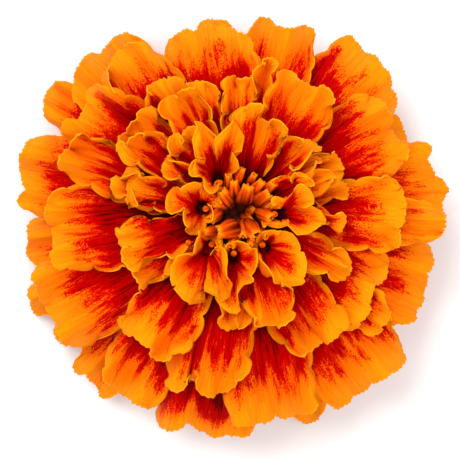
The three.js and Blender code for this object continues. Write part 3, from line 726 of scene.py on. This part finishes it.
# %% [markdown]
# ## From points to mesh
#
# A grid from bmesh has one corner for each vein and step, so each corner only has to move to its point. Its
# marks go along as two attributes. The Solidify modifier then gives the sheet its thickness, with the
# underside and the rim in finishes of their own: the underside because on this flower it is yellower than
# the face, the rim for its painted highlight, yellow where the edge catches light, and its painted shade,
# dark near the root.

# %% Bend a grid to points
MERGED = 0.001  # corners of a seam that are no farther apart become one


def marked_bmesh(*names):
    """An empty bmesh whose corners can carry marks of these names."""
    bm = bmesh.new()
    for name in names:
        bm.verts.layers.float_vector.new(name)
    return bm


def bend_grid(bm, points, marks, own=None, mirrored=False, closed=True):
    """Add a grid with its corners moved to the points and marked."""
    place = bm.verts.layers.float_vector["place"]
    kind = bm.verts.layers.float_vector.get("kind")
    across, steps = len(points) - 1, len(points[0]) - 1
    made = bmesh.ops.create_grid(bm, x_segments=across, y_segments=steps, size=1)["verts"]
    for vert in made:
        i = round((1 - vert.co.x if mirrored else 1 + vert.co.x) / 2 * across)
        j = round((vert.co.y + 1) / 2 * steps)
        vert.co = Vector(points[i, j]) * MM
        vert[place] = Vector(marks[i, j])
        if own:
            vert[kind] = Vector(own)
    if closed:
        bmesh.ops.remove_doubles(bm, verts=made, dist=MERGED * MM)


# %% Build pieces
def petal_piece(name, petals):
    bm = marked_bmesh("place", "kind")
    for petal in petals:
        points = finished_points(petal)
        marks = petal_marks(petal, points)
        bend_grid(bm, points, marks, own_marks(petal), mirrored=True, closed=petal["closed"])
    for face in bm.faces:
        face.smooth = True
    piece = finished_piece(name, bm, "ray_petals", [PETAL_FACE, PETAL_BACK, PETAL_RIM])
    sheet = piece.modifiers.new("thickness", "SOLIDIFY")
    sheet.thickness = SHEET * MM
    sheet.offset = 0
    sheet.use_rim = True
    sheet.use_quality_normals = True
    sheet.material_offset = 1
    sheet.material_offset_rim = 2


def finished_piece(name, bm, node, materials):
    """Make the bmesh an object that rides on the body and replaces a solid of the frame."""
    mesh = bpy.data.meshes.new(name)
    bm.to_mesh(mesh)
    bm.free()
    piece = bpy.data.objects.new(name, mesh)
    bpy.context.scene.collection.objects.link(piece)
    for material in materials:
        mesh.materials.append(material)
    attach(piece, "root")
    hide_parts(node)
    print(name, len(mesh.polygons), "faces")
    return piece


# %% [markdown]
# ## Shader maths as plain sums
#
# The finishes are worked out from where a point lies on its petal. Wiring dozens of Math nodes by hand is
# hard to read, so a small class wraps a socket: a sum or a product on it adds the Math node, and one method
# makes any other node.

# %% Shader helper
class Wire:
    """An output socket that sums and products can be written with."""

    def __init__(self, bench, socket):
        self.bench = bench
        self.socket = socket

    def maths(self, operation, *others):
        return self.bench.node("ShaderNodeMath", {"operation": operation}, dict(enumerate((self, *others))))

    def __add__(self, other):
        return self.maths("ADD", other)

    def __sub__(self, other):
        return self.maths("SUBTRACT", other)

    def __rsub__(self, other):
        return self.bench.node("ShaderNodeMath", {"operation": "SUBTRACT"}, {0: other, 1: self})

    def __mul__(self, other):
        return self.maths("MULTIPLY", other)

    def __truediv__(self, other):
        return self.maths("DIVIDE", other)

    __radd__ = __add__
    __rmul__ = __mul__

    def ramp(self, low, high):
        """0 below low, 1 above high, and a smooth step between them."""
        settings = {"interpolation_type": "SMOOTHSTEP"}
        return self.bench.node("ShaderNodeMapRange", settings, {0: self, 1: low, 2: high, 3: 0, 4: 1})


class Bench:
    """The node tree of one finish."""

    def __init__(self, name, **constants):
        self.material = bpy.data.materials.new(name)
        self.material.use_nodes = True
        self.tree = self.material.node_tree
        self.shader = self.tree.nodes["Principled BSDF"]
        for socket, value in constants.items():
            self.shader.inputs[socket.replace("_", " ")].default_value = value

    def node(self, kind, settings, inputs, output=0):
        made = self.tree.nodes.new(kind)
        for key, value in settings.items():
            setattr(made, key, value)
        for key, value in inputs.items():
            if isinstance(value, Wire):
                self.tree.links.new(value.socket, made.inputs[key])
            else:
                made.inputs[key].default_value = value
        return Wire(self, made.outputs[output])

    def attribute(self, name):
        wire = self.node("ShaderNodeAttribute", {"attribute_name": name}, {}, "Vector")
        return [self.node("ShaderNodeSeparateXYZ", {}, {0: wire}, axis) for axis in "XYZ"]

    def vector(self, x, y, z):
        return self.node("ShaderNodeCombineXYZ", {}, {0: x, 1: y, 2: z})

    def noise(self, vector, scale=1.0, detail=2.0, roughness=0.5):
        inputs = {"Vector": vector, "Scale": scale, "Detail": detail, "Roughness": roughness}
        return self.node("ShaderNodeTexNoise", {}, inputs)

    def spots(self, vector, scale=5.0):
        return self.node("ShaderNodeTexVoronoi", {}, {"Vector": vector, "Scale": scale})

    def object_place(self):
        return self.node("ShaderNodeTexCoord", {}, {}, "Object")

    def mix(self, low, high, share):
        return self.node("ShaderNodeMix", {"data_type": "RGBA"}, {0: share, 6: low, 7: high}, 2)

    def bump(self, height, strength, depth, invert=False):
        """Relief of a height, so deep in mm."""
        inputs = {"Strength": strength, "Distance": depth * MM, "Height": height}
        return self.node("ShaderNodeBump", {"invert": invert}, inputs)

    def finish(self, **links):
        for socket, wire in links.items():
            self.tree.links.new(wire.socket, self.shader.inputs[socket.replace("_", " ")])
        return self.material


def paint(*screen):
    """A colour from its red, green and blue on a screen, 0 to 255, by the standard curve of a screen."""
    linear = [((v / 255 + 0.055) / 1.055) ** 2.4 if v > 10 else v / 255 / 12.92 for v in screen]
    return (*linear, 1.0)


# %% [markdown]
# ## The face of a petal
#
# The blotch isn't a stain with an outline. The red lies along the veins, so its edge is combed: streaks of
# crimson run out into the orange, and fine specks break up their ends. The shader measures the way to the
# margin, moves that measure by noise that is stretched along the veins, and reads its colours off it.

# %% Petal paints
MARGIN_ORANGE = paint(252, 146, 8)
WARM_ORANGE = paint(250, 96, 3)
FIRE_RED = paint(224, 13, 0)
CRIMSON = paint(174, 0, 0)
DARK_CRIMSON = paint(96, 0, 0)
OLD_ORANGE = paint(245, 138, 8)
# a painted highlight: the yellow of an edge that catches the light
EDGE_HIGHLIGHT_YELLOW = paint(255, 160, 16)
BACK_ORANGE = paint(246, 120, 8)
BACK_RED = paint(226, 70, 5)
SHEEN_TINT = (1.0, 0.15, 0.03, 1.0)  # what a petal reflects is warm too
GLOW_COLOURS = (1.0, 0.35, 0.1)  # how far red, green and blue light spreads inside it, as shares of the depth
OLD_PETALS = (19, 27)  # reach of the petals that have that old orange
BAND = 0.178  # width of the orange margin, as a share of the petal's reach
FACE_BAND = 0.82  # and how much of that it has on the face
LEAST_BAND = 1.1  # to which this much is added, for the short petals
BAND_RANGE = (0.75, 0.5)  # the narrowest margin as a share of that, and how much more the broadest has


def living(weight, depth):
    """Settings of a skin that lets light in: how much of it, and how many mm deep."""
    return {
        "Specular_Tint": SHEEN_TINT, "Subsurface_Radius": GLOW_COLOURS,
        "Subsurface_Weight": weight, "Subsurface_Scale": depth * MM,
    }


# %% Noises of a petal
# scale across and along the petal, detail, roughness, and how far apart from the others it is read
NOISES = {
    "combed": (0.8, 0.13, 3.0, 0.6, 0),  # the broad streaks of the blotch's edge
    "bays": (0.35, 0.22, 1.0, 0.5, 43),  # where the blotch as a whole reaches out or stays back
    "hairs": (3.4, 1, 2.0, 0.6, 7),
    "specks": (6.5, 4.0, 1.0, 0.5, 13),
    "streaks": (2.0, 0.22, 2.0, 0.65, 31),  # dark lines inside the blotch
    "flutes": (1.3, 0.06, 2.0, 0.5, 3),  # warmer lines in the orange
    "ribs": (2.6, 0.05, 2.0, 0.5, 19),  # the relief of the veins, and of the skin between them
    "skin": (9, 6, 2.0, 0.5, 0),
    "back": (1.6, 0.1, 3.0, 0.5, 50),
    "fray": (6, 3, 2.0, 0.5, 0),
}
APART = 90  # how far apart the noises of different petals can be


def petal_noise(bench, name, own=0.0):
    """A noise from the table, read at a place that is each petal's own."""
    across, to_tip, _ = bench.attribute("place")
    scale_across, scale_along, detail, roughness, shift = NOISES[name]
    vector = bench.vector(across * scale_across, to_tip * scale_along, own + shift)
    return bench.noise(vector, detail=detail, roughness=roughness)


# %% Petal face
SIDE_WAY = 2.1  # how many times as narrow the orange margin is along the sides
SIDE_BAND = 0.12  # share of the margin that the very side is already past
ROUNDING = 1.2  # how softly the margins of tip and side meet
COMBED, HAIRS, BAYS, SPECKS = 1.7, 1.0, 1.8, 1.9  # how far each noise moves the blotch's edge, in margins
# how far inside the margin a colour sets in and is full, in breadths of the margin
RED_FROM = (-0.1, 0.2)
CRIMSON_FROM = (-0.1, 0.7)
DARK_FROM = (0.2, 2.4)
# painted shade: the crimson turns darker towards the root, where the petal lies deep under the others
ROOT_SHADE_FROM = (1.6, 5.0)
WARM_FROM = (0.1, 1.1)  # this one from the very edge
CRIMSON_HAIRS = 1.6  # how far the hairs move the edge of the crimson too
DARK_SPECKS, DARKER_INSIDE = 0.3, 0.4  # what the dark streaks owe to the specks and to the way from the edge
DARK_STREAKS = (-0.08, 0.12)  # where they set in and are full
# the first of these mixes in the root's painted shade, the last the edge's painted highlight
ROOT_SHADE, WARMTH, FLUTE_WARMTH, EDGE_HIGHLIGHT = 0.6, 0.72, 1.3, 0.7  # how strongly those are mixed in
EDGE_HIGHLIGHT_WIDTH = 0.22  # a painted highlight along the edge, where the edge catches light
SKIN = 0.25  # height of the skin's grain, as a share of the ribs'


def petal_colour(bench):
    _, to_tip, to_side = bench.attribute("place")
    draw, margin, reach = bench.attribute("kind")
    own = draw * APART
    names = ("combed", "bays", "hairs", "specks", "streaks", "flutes")
    combed, bays, hairs, specks, streaks, flutes = [petal_noise(bench, name, own) - 0.5 for name in names]
    narrowest, more = BAND_RANGE
    band = (reach * BAND * FACE_BAND + LEAST_BAND) * (narrowest + more * margin)
    way = to_tip.maths("SMOOTH_MIN", to_side * SIDE_WAY + band * SIDE_BAND, ROUNDING)
    depth = way / band - 1 + combed * COMBED + hairs * HAIRS + bays * BAYS
    crimson_share = (depth + hairs * CRIMSON_HAIRS).ramp(*CRIMSON_FROM)
    inside = depth.ramp(*DARK_FROM) - 0.5
    dark_share = (streaks + specks * DARK_SPECKS + inside * DARKER_INSIDE).ramp(*DARK_STREAKS)
    red = bench.mix(FIRE_RED, CRIMSON, crimson_share)
    red = bench.mix(red, DARK_CRIMSON, dark_share * crimson_share)
    # painted shade at the root, deep under the other petals
    red = bench.mix(red, DARK_CRIMSON, depth.ramp(*ROOT_SHADE_FROM) * ROOT_SHADE)
    orange = bench.mix(MARGIN_ORANGE, OLD_ORANGE, reach.ramp(*OLD_PETALS))
    warmth = flutes * FLUTE_WARMTH + (way / band).ramp(*WARM_FROM) * WARMTH
    orange = bench.mix(orange, WARM_ORANGE, warmth)
    # painted highlight: a bright yellow line where the edge catches light
    edge_highlight_share = 1 - to_tip.maths("MINIMUM", to_side).ramp(0.0, EDGE_HIGHLIGHT_WIDTH)
    orange = bench.mix(orange, EDGE_HIGHLIGHT_YELLOW, edge_highlight_share * EDGE_HIGHLIGHT)
    return bench.mix(orange, red, (depth + specks * SPECKS).ramp(*RED_FROM))


def petal_face():
    bench = Bench("petal_face", Roughness=0.6, Specular_IOR_Level=0.05, **living(0.22, 0.7))
    own = bench.attribute("kind")[0] * APART
    height = petal_noise(bench, "ribs", own) + petal_noise(bench, "skin", own) * SKIN
    return bench.finish(Base_Color=petal_colour(bench), Normal=bench.bump(height, 0.6, 0.3))


PETAL_FACE = petal_face()
print(PETAL_FACE.name, len(PETAL_FACE.node_tree.nodes), "nodes")

# %% Petal back and rim
BACK_RED_FROM = (-0.6, 1.8)  # as RED_FROM, but measured from further in
BACK_MARGIN = 1.6
RIM_WARM_FROM = (1, 12)  # way from the tip where the rim's painted highlight turns from yellow to orange, in mm
RIM_ROOT_SHADE_FROM = (0.5, 3.0)  # and where it darkens towards the root, as painted shade


def petal_back():
    bench = Bench("petal_back", Roughness=0.65, Specular_IOR_Level=0.06, **living(0.22, 0.7))
    to_tip = bench.attribute("place")[1]
    draw, _, reach = bench.attribute("kind")
    combed = petal_noise(bench, "back", draw * APART) - 0.5
    share = (to_tip / (reach * BAND) - BACK_MARGIN + combed * 2).ramp(*BACK_RED_FROM)
    colour = bench.mix(BACK_ORANGE, BACK_RED, share * 0.8)
    ribs = petal_noise(bench, "ribs", draw * APART)
    return bench.finish(Base_Color=colour, Normal=bench.bump(ribs, 0.5, 0.2))


def petal_rim():
    bench = Bench("petal_rim", Roughness=0.6, Specular_IOR_Level=0.05, Specular_Tint=SHEEN_TINT)
    _, to_tip, to_side = bench.attribute("place")
    # painted highlight: the rim is yellow towards the tip, where it catches light
    warm_share = petal_noise(bench, "fray") * 0.5 + to_tip.ramp(*RIM_WARM_FROM) * 0.5
    colour = bench.mix(EDGE_HIGHLIGHT_YELLOW, MARGIN_ORANGE, warm_share)
    # painted shade: the rim turns dark crimson towards the root, deep under the other petals
    root_shade_share = to_tip.maths("MINIMUM", to_side).ramp(*RIM_ROOT_SHADE_FROM)
    return bench.finish(Base_Color=bench.mix(colour, DARK_CRIMSON, root_shade_share))


PETAL_BACK = petal_back()
PETAL_RIM = petal_rim()

# %% Petal pieces
WHORLS = {  # piece: lowest and highest level in it
    "resting_petals": (-1, -0.1), "skirt_petals": (0, 0.5), "outer_petals": (0.6, 1.75),
    "second_petals": (1.76, 2.9), "third_petals": (2.95, 3.7), "fourth_petals": (3.75, 4.5),
    "inner_petals": (4.6, 6.5), "trumpet_florets": (6.9, 7.1),
}
for whorl, (lowest, highest) in WHORLS.items():
    whorl_petals = [petal for petal in PETALS if lowest <= petal["level"] <= highest]
    petal_piece(whorl, sorted(whorl_petals, key=lambda petal: petal["level"]))

# %% [markdown]
# ## The nest of young florets
#
# In the middle the florets are still quills: short tubes that lean out from a dark pit, each with a frayed,
# paler mouth. Their feet are painted dark red as painted shade, for the shade down in the pit. One grid bent
# round into a tube makes such a quill, so all of them come from one function and a table of where their
# mouths are.

# %% Quill finish
# painted shade: the dark red of a quill's foot, down in the pit
QUILL_FOOT_SHADE = paint(76, 5, 0)
QUILL_BODY = paint(232, 78, 4)
QUILL_MOUTH = paint(253, 140, 12)
BODY_FROM = (0.45, 1.0)  # share of a quill's length where its painted shade, dark at the foot down in the pit, turns to its body's colour
MOUTH_BAND = 0.45  # width of the paler mouth


def quill_finish():
    bench = Bench("young_floret", Roughness=0.6, Specular_IOR_Level=0.1, **living(0.2, 0.5))
    around, to_mouth, share = bench.attribute("place")
    draw = bench.attribute("kind")[0]
    streaks = bench.noise(bench.vector(around * 2.5, to_mouth * 0.5, draw * APART), detail=3.0) - 0.5
    # painted shade: the quill's foot is painted dark towards the pit
    body = bench.mix(QUILL_FOOT_SHADE, QUILL_BODY, (share + streaks * 0.9).ramp(*BODY_FROM))
    colour = bench.mix(body, QUILL_MOUTH, (1 - to_mouth / MOUTH_BAND + streaks * 0.8).ramp(0.0, 0.9))
    skin = bench.noise(bench.vector(around * 5, to_mouth * 1.2, draw * 50), detail=3.0)
    return bench.finish(Base_Color=colour, Normal=bench.bump(skin, 0.6, 0.2))


YOUNG_FLORET = quill_finish()

# %% Table of quills
# distance and direction of the mouth, its height, width of the quill, its length
QUILLS = [
    (3.4, 131, 22.7, 1.8, 2.2), (3.9, 99, 23.3, 1.4, 2.4), (3.5, 68, 23.6, 2.0, 2.8),
    (4.7, 29, 23.2, 1.9, 2.9), (4.5, -13, 23.1, 1.8, 2.6), (4.1, -54, 23.6, 2.3, 2.9),
    (3.5, -80, 23.2, 1.6, 2.8), (3.9, 228, 23.5, 2.5, 3.1), (3.9, 199, 22.9, 1.6, 2.8),
    (3.3, 165, 22.3, 1.2, 2.0), (2.5, 256, 21.8, 0.9, 1.7), (2.3, 12, 21.5, 1.1, 1.7),
    (2.4, 318, 21.6, 1.1, 1.7), (2.2, 148, 21.4, 0.9, 1.6), (2.9, 100, 22.2, 1.0, 1.8),
    (2.8, 45, 22.1, 1.0, 1.9), (2.9, 283, 22.2, 1.0, 1.9), (5.0, 50, 23.3, 1.3, 2.6),
    (6.0, 38, 23.4, 1.4, 2.6), (5.6, 84, 23.2, 1.1, 2.8), (4.9, 106, 22.7, 1.1, 2.3),
    (5.2, 66, 22.9, 1.0, 2.4), (5.6, 7, 22.4, 1.1, 2.2), (5.7, 341, 22.2, 1.1, 2.2),
    (5.1, 318, 22.5, 1.3, 2.4), (4.9, 288, 22.4, 1.2, 2.5), (4.8, 258, 22.7, 1.4, 2.5),
    (5.3, 212, 22.4, 1.2, 2.4), (4.9, 147, 22.3, 1.1, 2.2),
]
NEST_RADIUS = 3.6  # the quills nearer the axis are the disc florets
print(len(QUILLS), "quills")

# %% The shape of a quill
AROUND = 36
QUILL_STEPS = 20
QUILL_WALL = 0.14
STALK = 1.8  # length of a quill's foot, below the length that the table gives
STALK_SHARE = 0.3  # share of the quill that stays straight
FOOT_LEAN = 4  # in degrees
QUILL_LEAN = (66, 26)  # how much further a quill leans out at its mouth, and how much less that can be
QUILL_SWAY = 70  # and the range in which it leans to one side or the other
FOOT_BORE, BELLY, NECK, LIP = 0.3, 0.8, 0.7, 0.3  # shares of its width that add up to its outline
OVAL = 1.05
FLUTING = 0.1  # depth of its flutes, as a share of the bore
QUILL_TOOTH = 0.035
LOBES, FRAY = 0.05, 0.06  # how uneven the mouth is in five and in eight waves, as shares of the width
MOUTH_TILT = -0.12  # how far a mouth's outer side stands out, as a share of the width: less than 0, so back


def quill_points(row, n):
    """Points of a quill from the head's axis in mm, as an array of sides by steps by x, y, z."""
    distance, direction, top, width, length = row
    t = np.linspace(0, 1, QUILL_STEPS + 1)
    turn = np.linspace(0, TAU, AROUND + 1)
    bend = np.clip((t - STALK_SHARE) / (1 - STALK_SHARE), 0, 1)
    most, less = QUILL_LEAN
    lean = np.radians(FOOT_LEAN + (most - less * chance(n + 0.44)) * np.sin(np.pi / 2 * bend))
    step = (length + STALK) / QUILL_STEPS
    out = np.concatenate([[0], np.cumsum(np.sin(lean[1:]) * step)])
    up = np.concatenate([[0], np.cumsum(np.cos(lean[1:]) * step)])
    out -= out[-1]
    up += top - up[-1]
    body = np.sin(np.pi / 2 * np.clip(bend / 0.5, 0, 1))
    bore = width / 2 * (FOOT_BORE + BELLY * body - NECK * bend**3 + LIP * bend**14)
    start = phase(n)
    folds = 1 + FLUTING * np.sin(3 * turn + start)[:, None]
    folds = folds + np.outer(FLUTING * np.sin(5 * turn + 2 * start), t**2)
    teeth = QUILL_TOOTH * np.where(np.arange(AROUND + 1) % 2, 1, -1) * (0.5 + chance(n + 0.2))
    teeth[-1] = teeth[0]
    lobes = LOBES * width * np.sin(5 * turn + 5 * chance(n + 0.6)) + FRAY * width * np.sin(8 * turn + n)
    lip = np.outer(MOUTH_TILT * width * np.cos(turn) + teeth + lobes, t**4)
    side = bore * folds * np.sin(turn)[:, None]
    front = bore * folds * np.cos(turn)[:, None] * OVAL
    radial = out + front * np.cos(lean) + lip * np.sin(lean)
    height = up - front * np.sin(lean) + lip * np.cos(lean)
    mouth = distance * np.exp(1j * math.radians(direction))
    heading = math.radians(direction + QUILL_SWAY * (chance(n + 0.8) - 0.5))
    flat = mouth + (radial + 1j * side) * np.exp(1j * heading)
    return np.stack([flat.real + AXIS[0], flat.imag + AXIS[1], height], -1)


# %% Quill pieces
FIRST_QUILL = 100  # the quills draw by higher numbers than the petals


def quill_marks(row):
    """For each point: way round the quill and way to the mouth in mm, and share of the length."""
    width, length = row[3:5]
    around = width * 3 * np.arange(AROUND + 1)[:, None] / AROUND
    share = np.arange(QUILL_STEPS + 1)[None] / QUILL_STEPS
    return np.stack(np.broadcast_arrays(around, length * (1 - share), share), -1)


def quill_piece(name, rows, node):
    bm = marked_bmesh("place", "kind")
    for n, row in enumerate(rows, FIRST_QUILL):
        own = (chance(n + 0.21), chance(n + 0.57), row[4])
        bend_grid(bm, quill_points(row, n), quill_marks(row), own)
    for face in bm.faces:
        face.smooth = True
    piece = finished_piece(name, bm, node, [YOUNG_FLORET])
    wall = piece.modifiers.new("wall", "SOLIDIFY")
    wall.thickness = QUILL_WALL * MM
    wall.offset = 0


quill_piece("disc_floret_nest", [row for row in QUILLS if row[0] < NEST_RADIUS], "disc_florets")
quill_piece("young_florets", [row for row in QUILLS if row[0] >= NEST_RADIUS], "ray_petals")

# %% [markdown]
# ## The core
#
# The tubes of all the florets stand packed on a small cushion. Between the petals only its surface can be
# seen, so one turned profile is enough: a spin of the core's outline, with the tubes as fine relief in its
# finish. Its dark red, and the near black between the tubes, are painted shade, for the shade deep between
# the petals.

# %% Core
CORE = [  # radius and height
    (0, 9.3), (5.0, 9.3), (5.4, 10.2), (6.4, 11.0), (7.0, 12.4), (7.0, 14.4), (6.7, 16.2), (6.2, 17.8),
    (5.6, 19.0), (4.6, 19.8), (3.4, 20.0), (2.2, 19.8), (0.9, 19.4), (0, 19.2),
]
CORE_AROUND = 64
# painted shade: the core's dark red, and the near black between its tubes
SHADED_TUBE_RED = paint(92, 16, 0)
TUBE_GAP_SHADE = paint(26, 2, 0)
TUBES = 900.0  # scale of the tubes, which makes them about 1 mm apart


def turned(profile, steps):
    """A bmesh of a profile of radius and height turned round the origin."""
    bm = bmesh.new()
    rim = [bm.verts.new((radius * MM, 0, height * MM)) for radius, height in profile]
    edges = [bm.edges.new(pair) for pair in zip(rim, rim[1:])]
    bmesh.ops.spin(bm, geom=rim + edges, axis=(0, 0, 1), steps=steps, angle=TAU, use_merge=True)
    bmesh.ops.remove_doubles(bm, verts=bm.verts, dist=MERGED * MM)
    bmesh.ops.recalc_face_normals(bm, faces=bm.faces)
    for face in bm.faces:
        face.smooth = True
    return bm


def core_finish():
    bench = Bench("shaded_packed_tubes", Roughness=0.7, Specular_IOR_Level=0.15)
    tubes = bench.spots(bench.object_place(), scale=TUBES)
    # painted shade: dark red tubes with near black gaps, for the shade deep between the petals
    colour = bench.mix(SHADED_TUBE_RED, TUBE_GAP_SHADE, tubes.ramp(0.2, 0.7))
    return bench.finish(Base_Color=colour, Normal=bench.bump(tubes, 0.8, 0.4, invert=True))


bm = turned(CORE, CORE_AROUND)
bmesh.ops.translate(bm, verts=bm.verts, vec=Vector((*AXIS, 0)) * MM)
finished_piece("floret_core", bm, "ray_petals", [core_finish()])

# %% [markdown]
# ## Styles
#
# Out of a trumpet's throat stands its style, a short stalk with a cleft, sticky head. At this size a small
# sphere pinched down its middle on a thin cone is close enough. Two more stand beside the throats, where a
# floret is hidden.

# %% Style finish
STYLE_RED = paint(190, 54, 2)
POLLEN_ORANGE = paint(238, 112, 8)


def style_finish():
    bench = Bench("style", Roughness=0.5, Specular_IOR_Level=0.2, Specular_Tint=SHEEN_TINT)
    dust = bench.noise(bench.object_place(), scale=2600.0, detail=3.0)
    colour = bench.mix(STYLE_RED, POLLEN_ORANGE, dust.ramp(0.35, 0.7))
    return bench.finish(Base_Color=colour, Normal=bench.bump(dust, 0.6, 0.2))


# %% Styles
STYLES = [  # distance, direction and height of the top
    (4.7, 177, 23.2), (4.8, 124, 23.0), (5.9, 305, 22.8), (5.2, 354, 23.0),
    (6.1, 264, 22.6), (6.1, 232, 22.4), (7.4, 190, 23.4), (8.2, 213, 22.8),
]
STYLE_FOOT = 19.4
STYLE_HEAD = 0.42  # radius of a style's head
STYLE_LEAN = 0.4  # how far it stands from the middle of its tube, towards the head's axis
CLEFT = 0.45  # depth of its cleft, as a share of the radius
CLEFT_WIDTH = 0.3
STYLE_STALK = (0.2, 0.26)  # radius of the stalk at its foot and under the head


def add_style(bm, distance, direction, top, n):
    turn = math.radians(direction)
    inward = distance - STYLE_LEAN
    depth = top - STYLE_HEAD - STYLE_FOOT
    foot = Vector((AXIS[0] + inward * math.cos(turn), AXIS[1] + inward * math.sin(turn), 0))
    middle = foot + Vector((0, 0, top - STYLE_HEAD))
    head = bmesh.ops.create_uvsphere(bm, u_segments=24, v_segments=16, radius=STYLE_HEAD)["verts"]
    for vert in head:
        pinch = hill(vert.co.x / STYLE_HEAD, 0, CLEFT_WIDTH) * max(vert.co.z / STYLE_HEAD, 0)
        vert.co.z -= CLEFT * STYLE_HEAD * pinch
    bmesh.ops.rotate(bm, verts=head, matrix=Matrix.Rotation(turn + chance(n), 3, "Z"))
    bmesh.ops.translate(bm, verts=head, vec=middle)
    bmesh.ops.create_cone(
        bm, cap_ends=True, segments=16, radius1=STYLE_STALK[0], radius2=STYLE_STALK[1], depth=depth,
        matrix=Matrix.Translation(foot + Vector((0, 0, STYLE_FOOT + depth / 2))),
    )


bm = bmesh.new()
for n, (distance, direction, top) in enumerate(STYLES):
    add_style(bm, distance, direction, top, n)
bmesh.ops.scale(bm, verts=bm.verts, vec=Vector((MM, MM, MM)))
for face in bm.faces:
    face.smooth = True
finished_piece("floret_styles", bm, "ray_petals", [style_finish()])

# %% [markdown]
# ## The green cup and the cut stalk
#
# Below, the bracts are fused into a ribbed cup, each with a tooth on the rim and lines of small oil glands.
# Ribs and teeth are too uneven for a spin, so a grid is bent round once more, and pushed out along each rib.
# The stalk is cut off square, with its pale pith.

# %% Table of the cup
CUP = [  # radius, height, then how much of the rib and how much of the tooth show there
    (1.9, 0.0, 0, 0), (1.95, 0.25, 0, 0), (2.0, 0.5, 0, 0), (2.1, 0.8, 0, 0), (2.55, 1.2, 0.2, 0),
    (3.2, 1.7, 0.4, 0), (3.75, 2.4, 0.8, 0), (4.2, 3.2, 1, 0), (4.52, 4.0, 1, 0), (4.8, 5.0, 1, 0),
    (5.05, 6.0, 1, 0), (5.3, 7.0, 1, 0), (5.6, 7.9, 0.9, 0.1), (5.9, 8.6, 0.8, 0.2), (6.15, 9.0, 0.5, 0.6),
    (6.3, 9.3, 0.3, 1), (6.1, 9.4, 0, 1), (5.6, 9.3, 0, 0.4), (5.4, 8.9, 0, 0),
]
BRACTS = 7
RIB = 0.25  # how far a rib stands out
TOOTH_OUT = 0.5
TOOTH_UP = 1.0

# %% Green of the bracts
BRACT_GREEN = paint(74, 104, 34)
RIB_GREEN = paint(126, 152, 62)
TIP_BROWN = paint(150, 84, 48)
GLAND_OCHRE = paint(176, 112, 36)
TIP_FROM = (7.4, 9.8)  # height where the teeth turn brown
GLAND_SIZE = (0.10, 0.17)  # of a gland and of its soft edge, as shares of the way to the next


def cup_finish():
    bench = Bench("green_bracts", Roughness=0.55, Specular_IOR_Level=0.35)
    around, height, rib = bench.attribute("place")
    grain = bench.noise(bench.vector(around * 3.0, height * 0.4, 0.0), detail=3.0)
    green = bench.mix(BRACT_GREEN, RIB_GREEN, (grain - 0.5) * 1.2 + rib * 0.45 + 0.3)
    tip = (height + (grain - 0.5) * 1.5).ramp(*TIP_FROM)
    green = bench.mix(green, TIP_BROWN, tip * 0.7)
    gland = 1 - bench.spots(bench.vector(around * 0.8, height * 0.55, 0.0)).ramp(*GLAND_SIZE)
    colour = bench.mix(green, GLAND_OCHRE, gland * 0.85)
    return bench.finish(Base_Color=colour, Normal=bench.bump(grain * 0.5 + gland * 0.8, 0.6, 0.3))


# %% Pith of the stalk
PITH_PALE = paint(214, 222, 170)
PITH_GREEN = paint(188, 204, 132)
RIND_GREEN = paint(98, 126, 50)
RIND_FROM = (1.35, 1.65)  # way from the middle of the stalk where its rind begins
MM_IN_METRE = 1000


def pith_finish():
    bench = Bench("cut_stalk", Roughness=0.7, Specular_IOR_Level=0.25)
    spot = bench.object_place()
    middle = (AXIS[0] * MM, AXIS[1] * MM, 0)
    out = bench.node("ShaderNodeVectorMath", {"operation": "SUBTRACT"}, {0: spot, 1: middle})
    way = bench.node("ShaderNodeVectorMath", {"operation": "LENGTH"}, {0: out}, "Value") * MM_IN_METRE
    pores = bench.noise(spot, scale=3000.0, detail=2.0)
    rind = (way + (pores - 0.5) * 0.3).ramp(*RIND_FROM)
    colour = bench.mix(bench.mix(PITH_PALE, PITH_GREEN, pores), RIND_GREEN, rind)
    return bench.finish(Base_Color=colour, Normal=bench.bump(pores, 0.5, 0.2))


# %% Cup and stalk
CUP_AROUND = 168
CUP_GIRTH = 30  # the way round the cup in its finish, there and back


def cup_points():
    """Points of the cup in mm, as an array of sides by steps by x, y, z, and its marks."""
    turn = np.linspace(0, TAU, CUP_AROUND + 1)
    radius, height, rib, tooth = np.array(CUP).T
    wave = np.cos(BRACTS * turn)[:, None]
    out = radius + RIB * rib * wave + TOOTH_OUT * tooth * np.maximum(wave, 0)
    up = height + TOOTH_UP * tooth * np.maximum(wave, 0)
    x = AXIS[0] + out * np.cos(turn)[:, None]
    y = AXIS[1] + out * np.sin(turn)[:, None]
    i = np.arange(CUP_AROUND + 1)[:, None]
    around = np.minimum(i, CUP_AROUND - i) / CUP_AROUND * CUP_GIRTH
    return np.stack([x, y, up], -1), np.stack(np.broadcast_arrays(around, up, wave * rib), -1)


bm = marked_bmesh("place")
bend_grid(bm, *cup_points())
ends = [edge for edge in bm.edges if edge.is_boundary]
bmesh.ops.holes_fill(bm, edges=ends, sides=0)
bmesh.ops.recalc_face_normals(bm, faces=bm.faces)
for face in bm.faces:
    face.smooth = len(face.verts) < 5
    face.material_index = int(len(face.verts) > 4 and face.calc_center_median().z < MM)
finished_piece("green_cup", bm, "cup_and_stalk", [cup_finish(), pith_finish()])
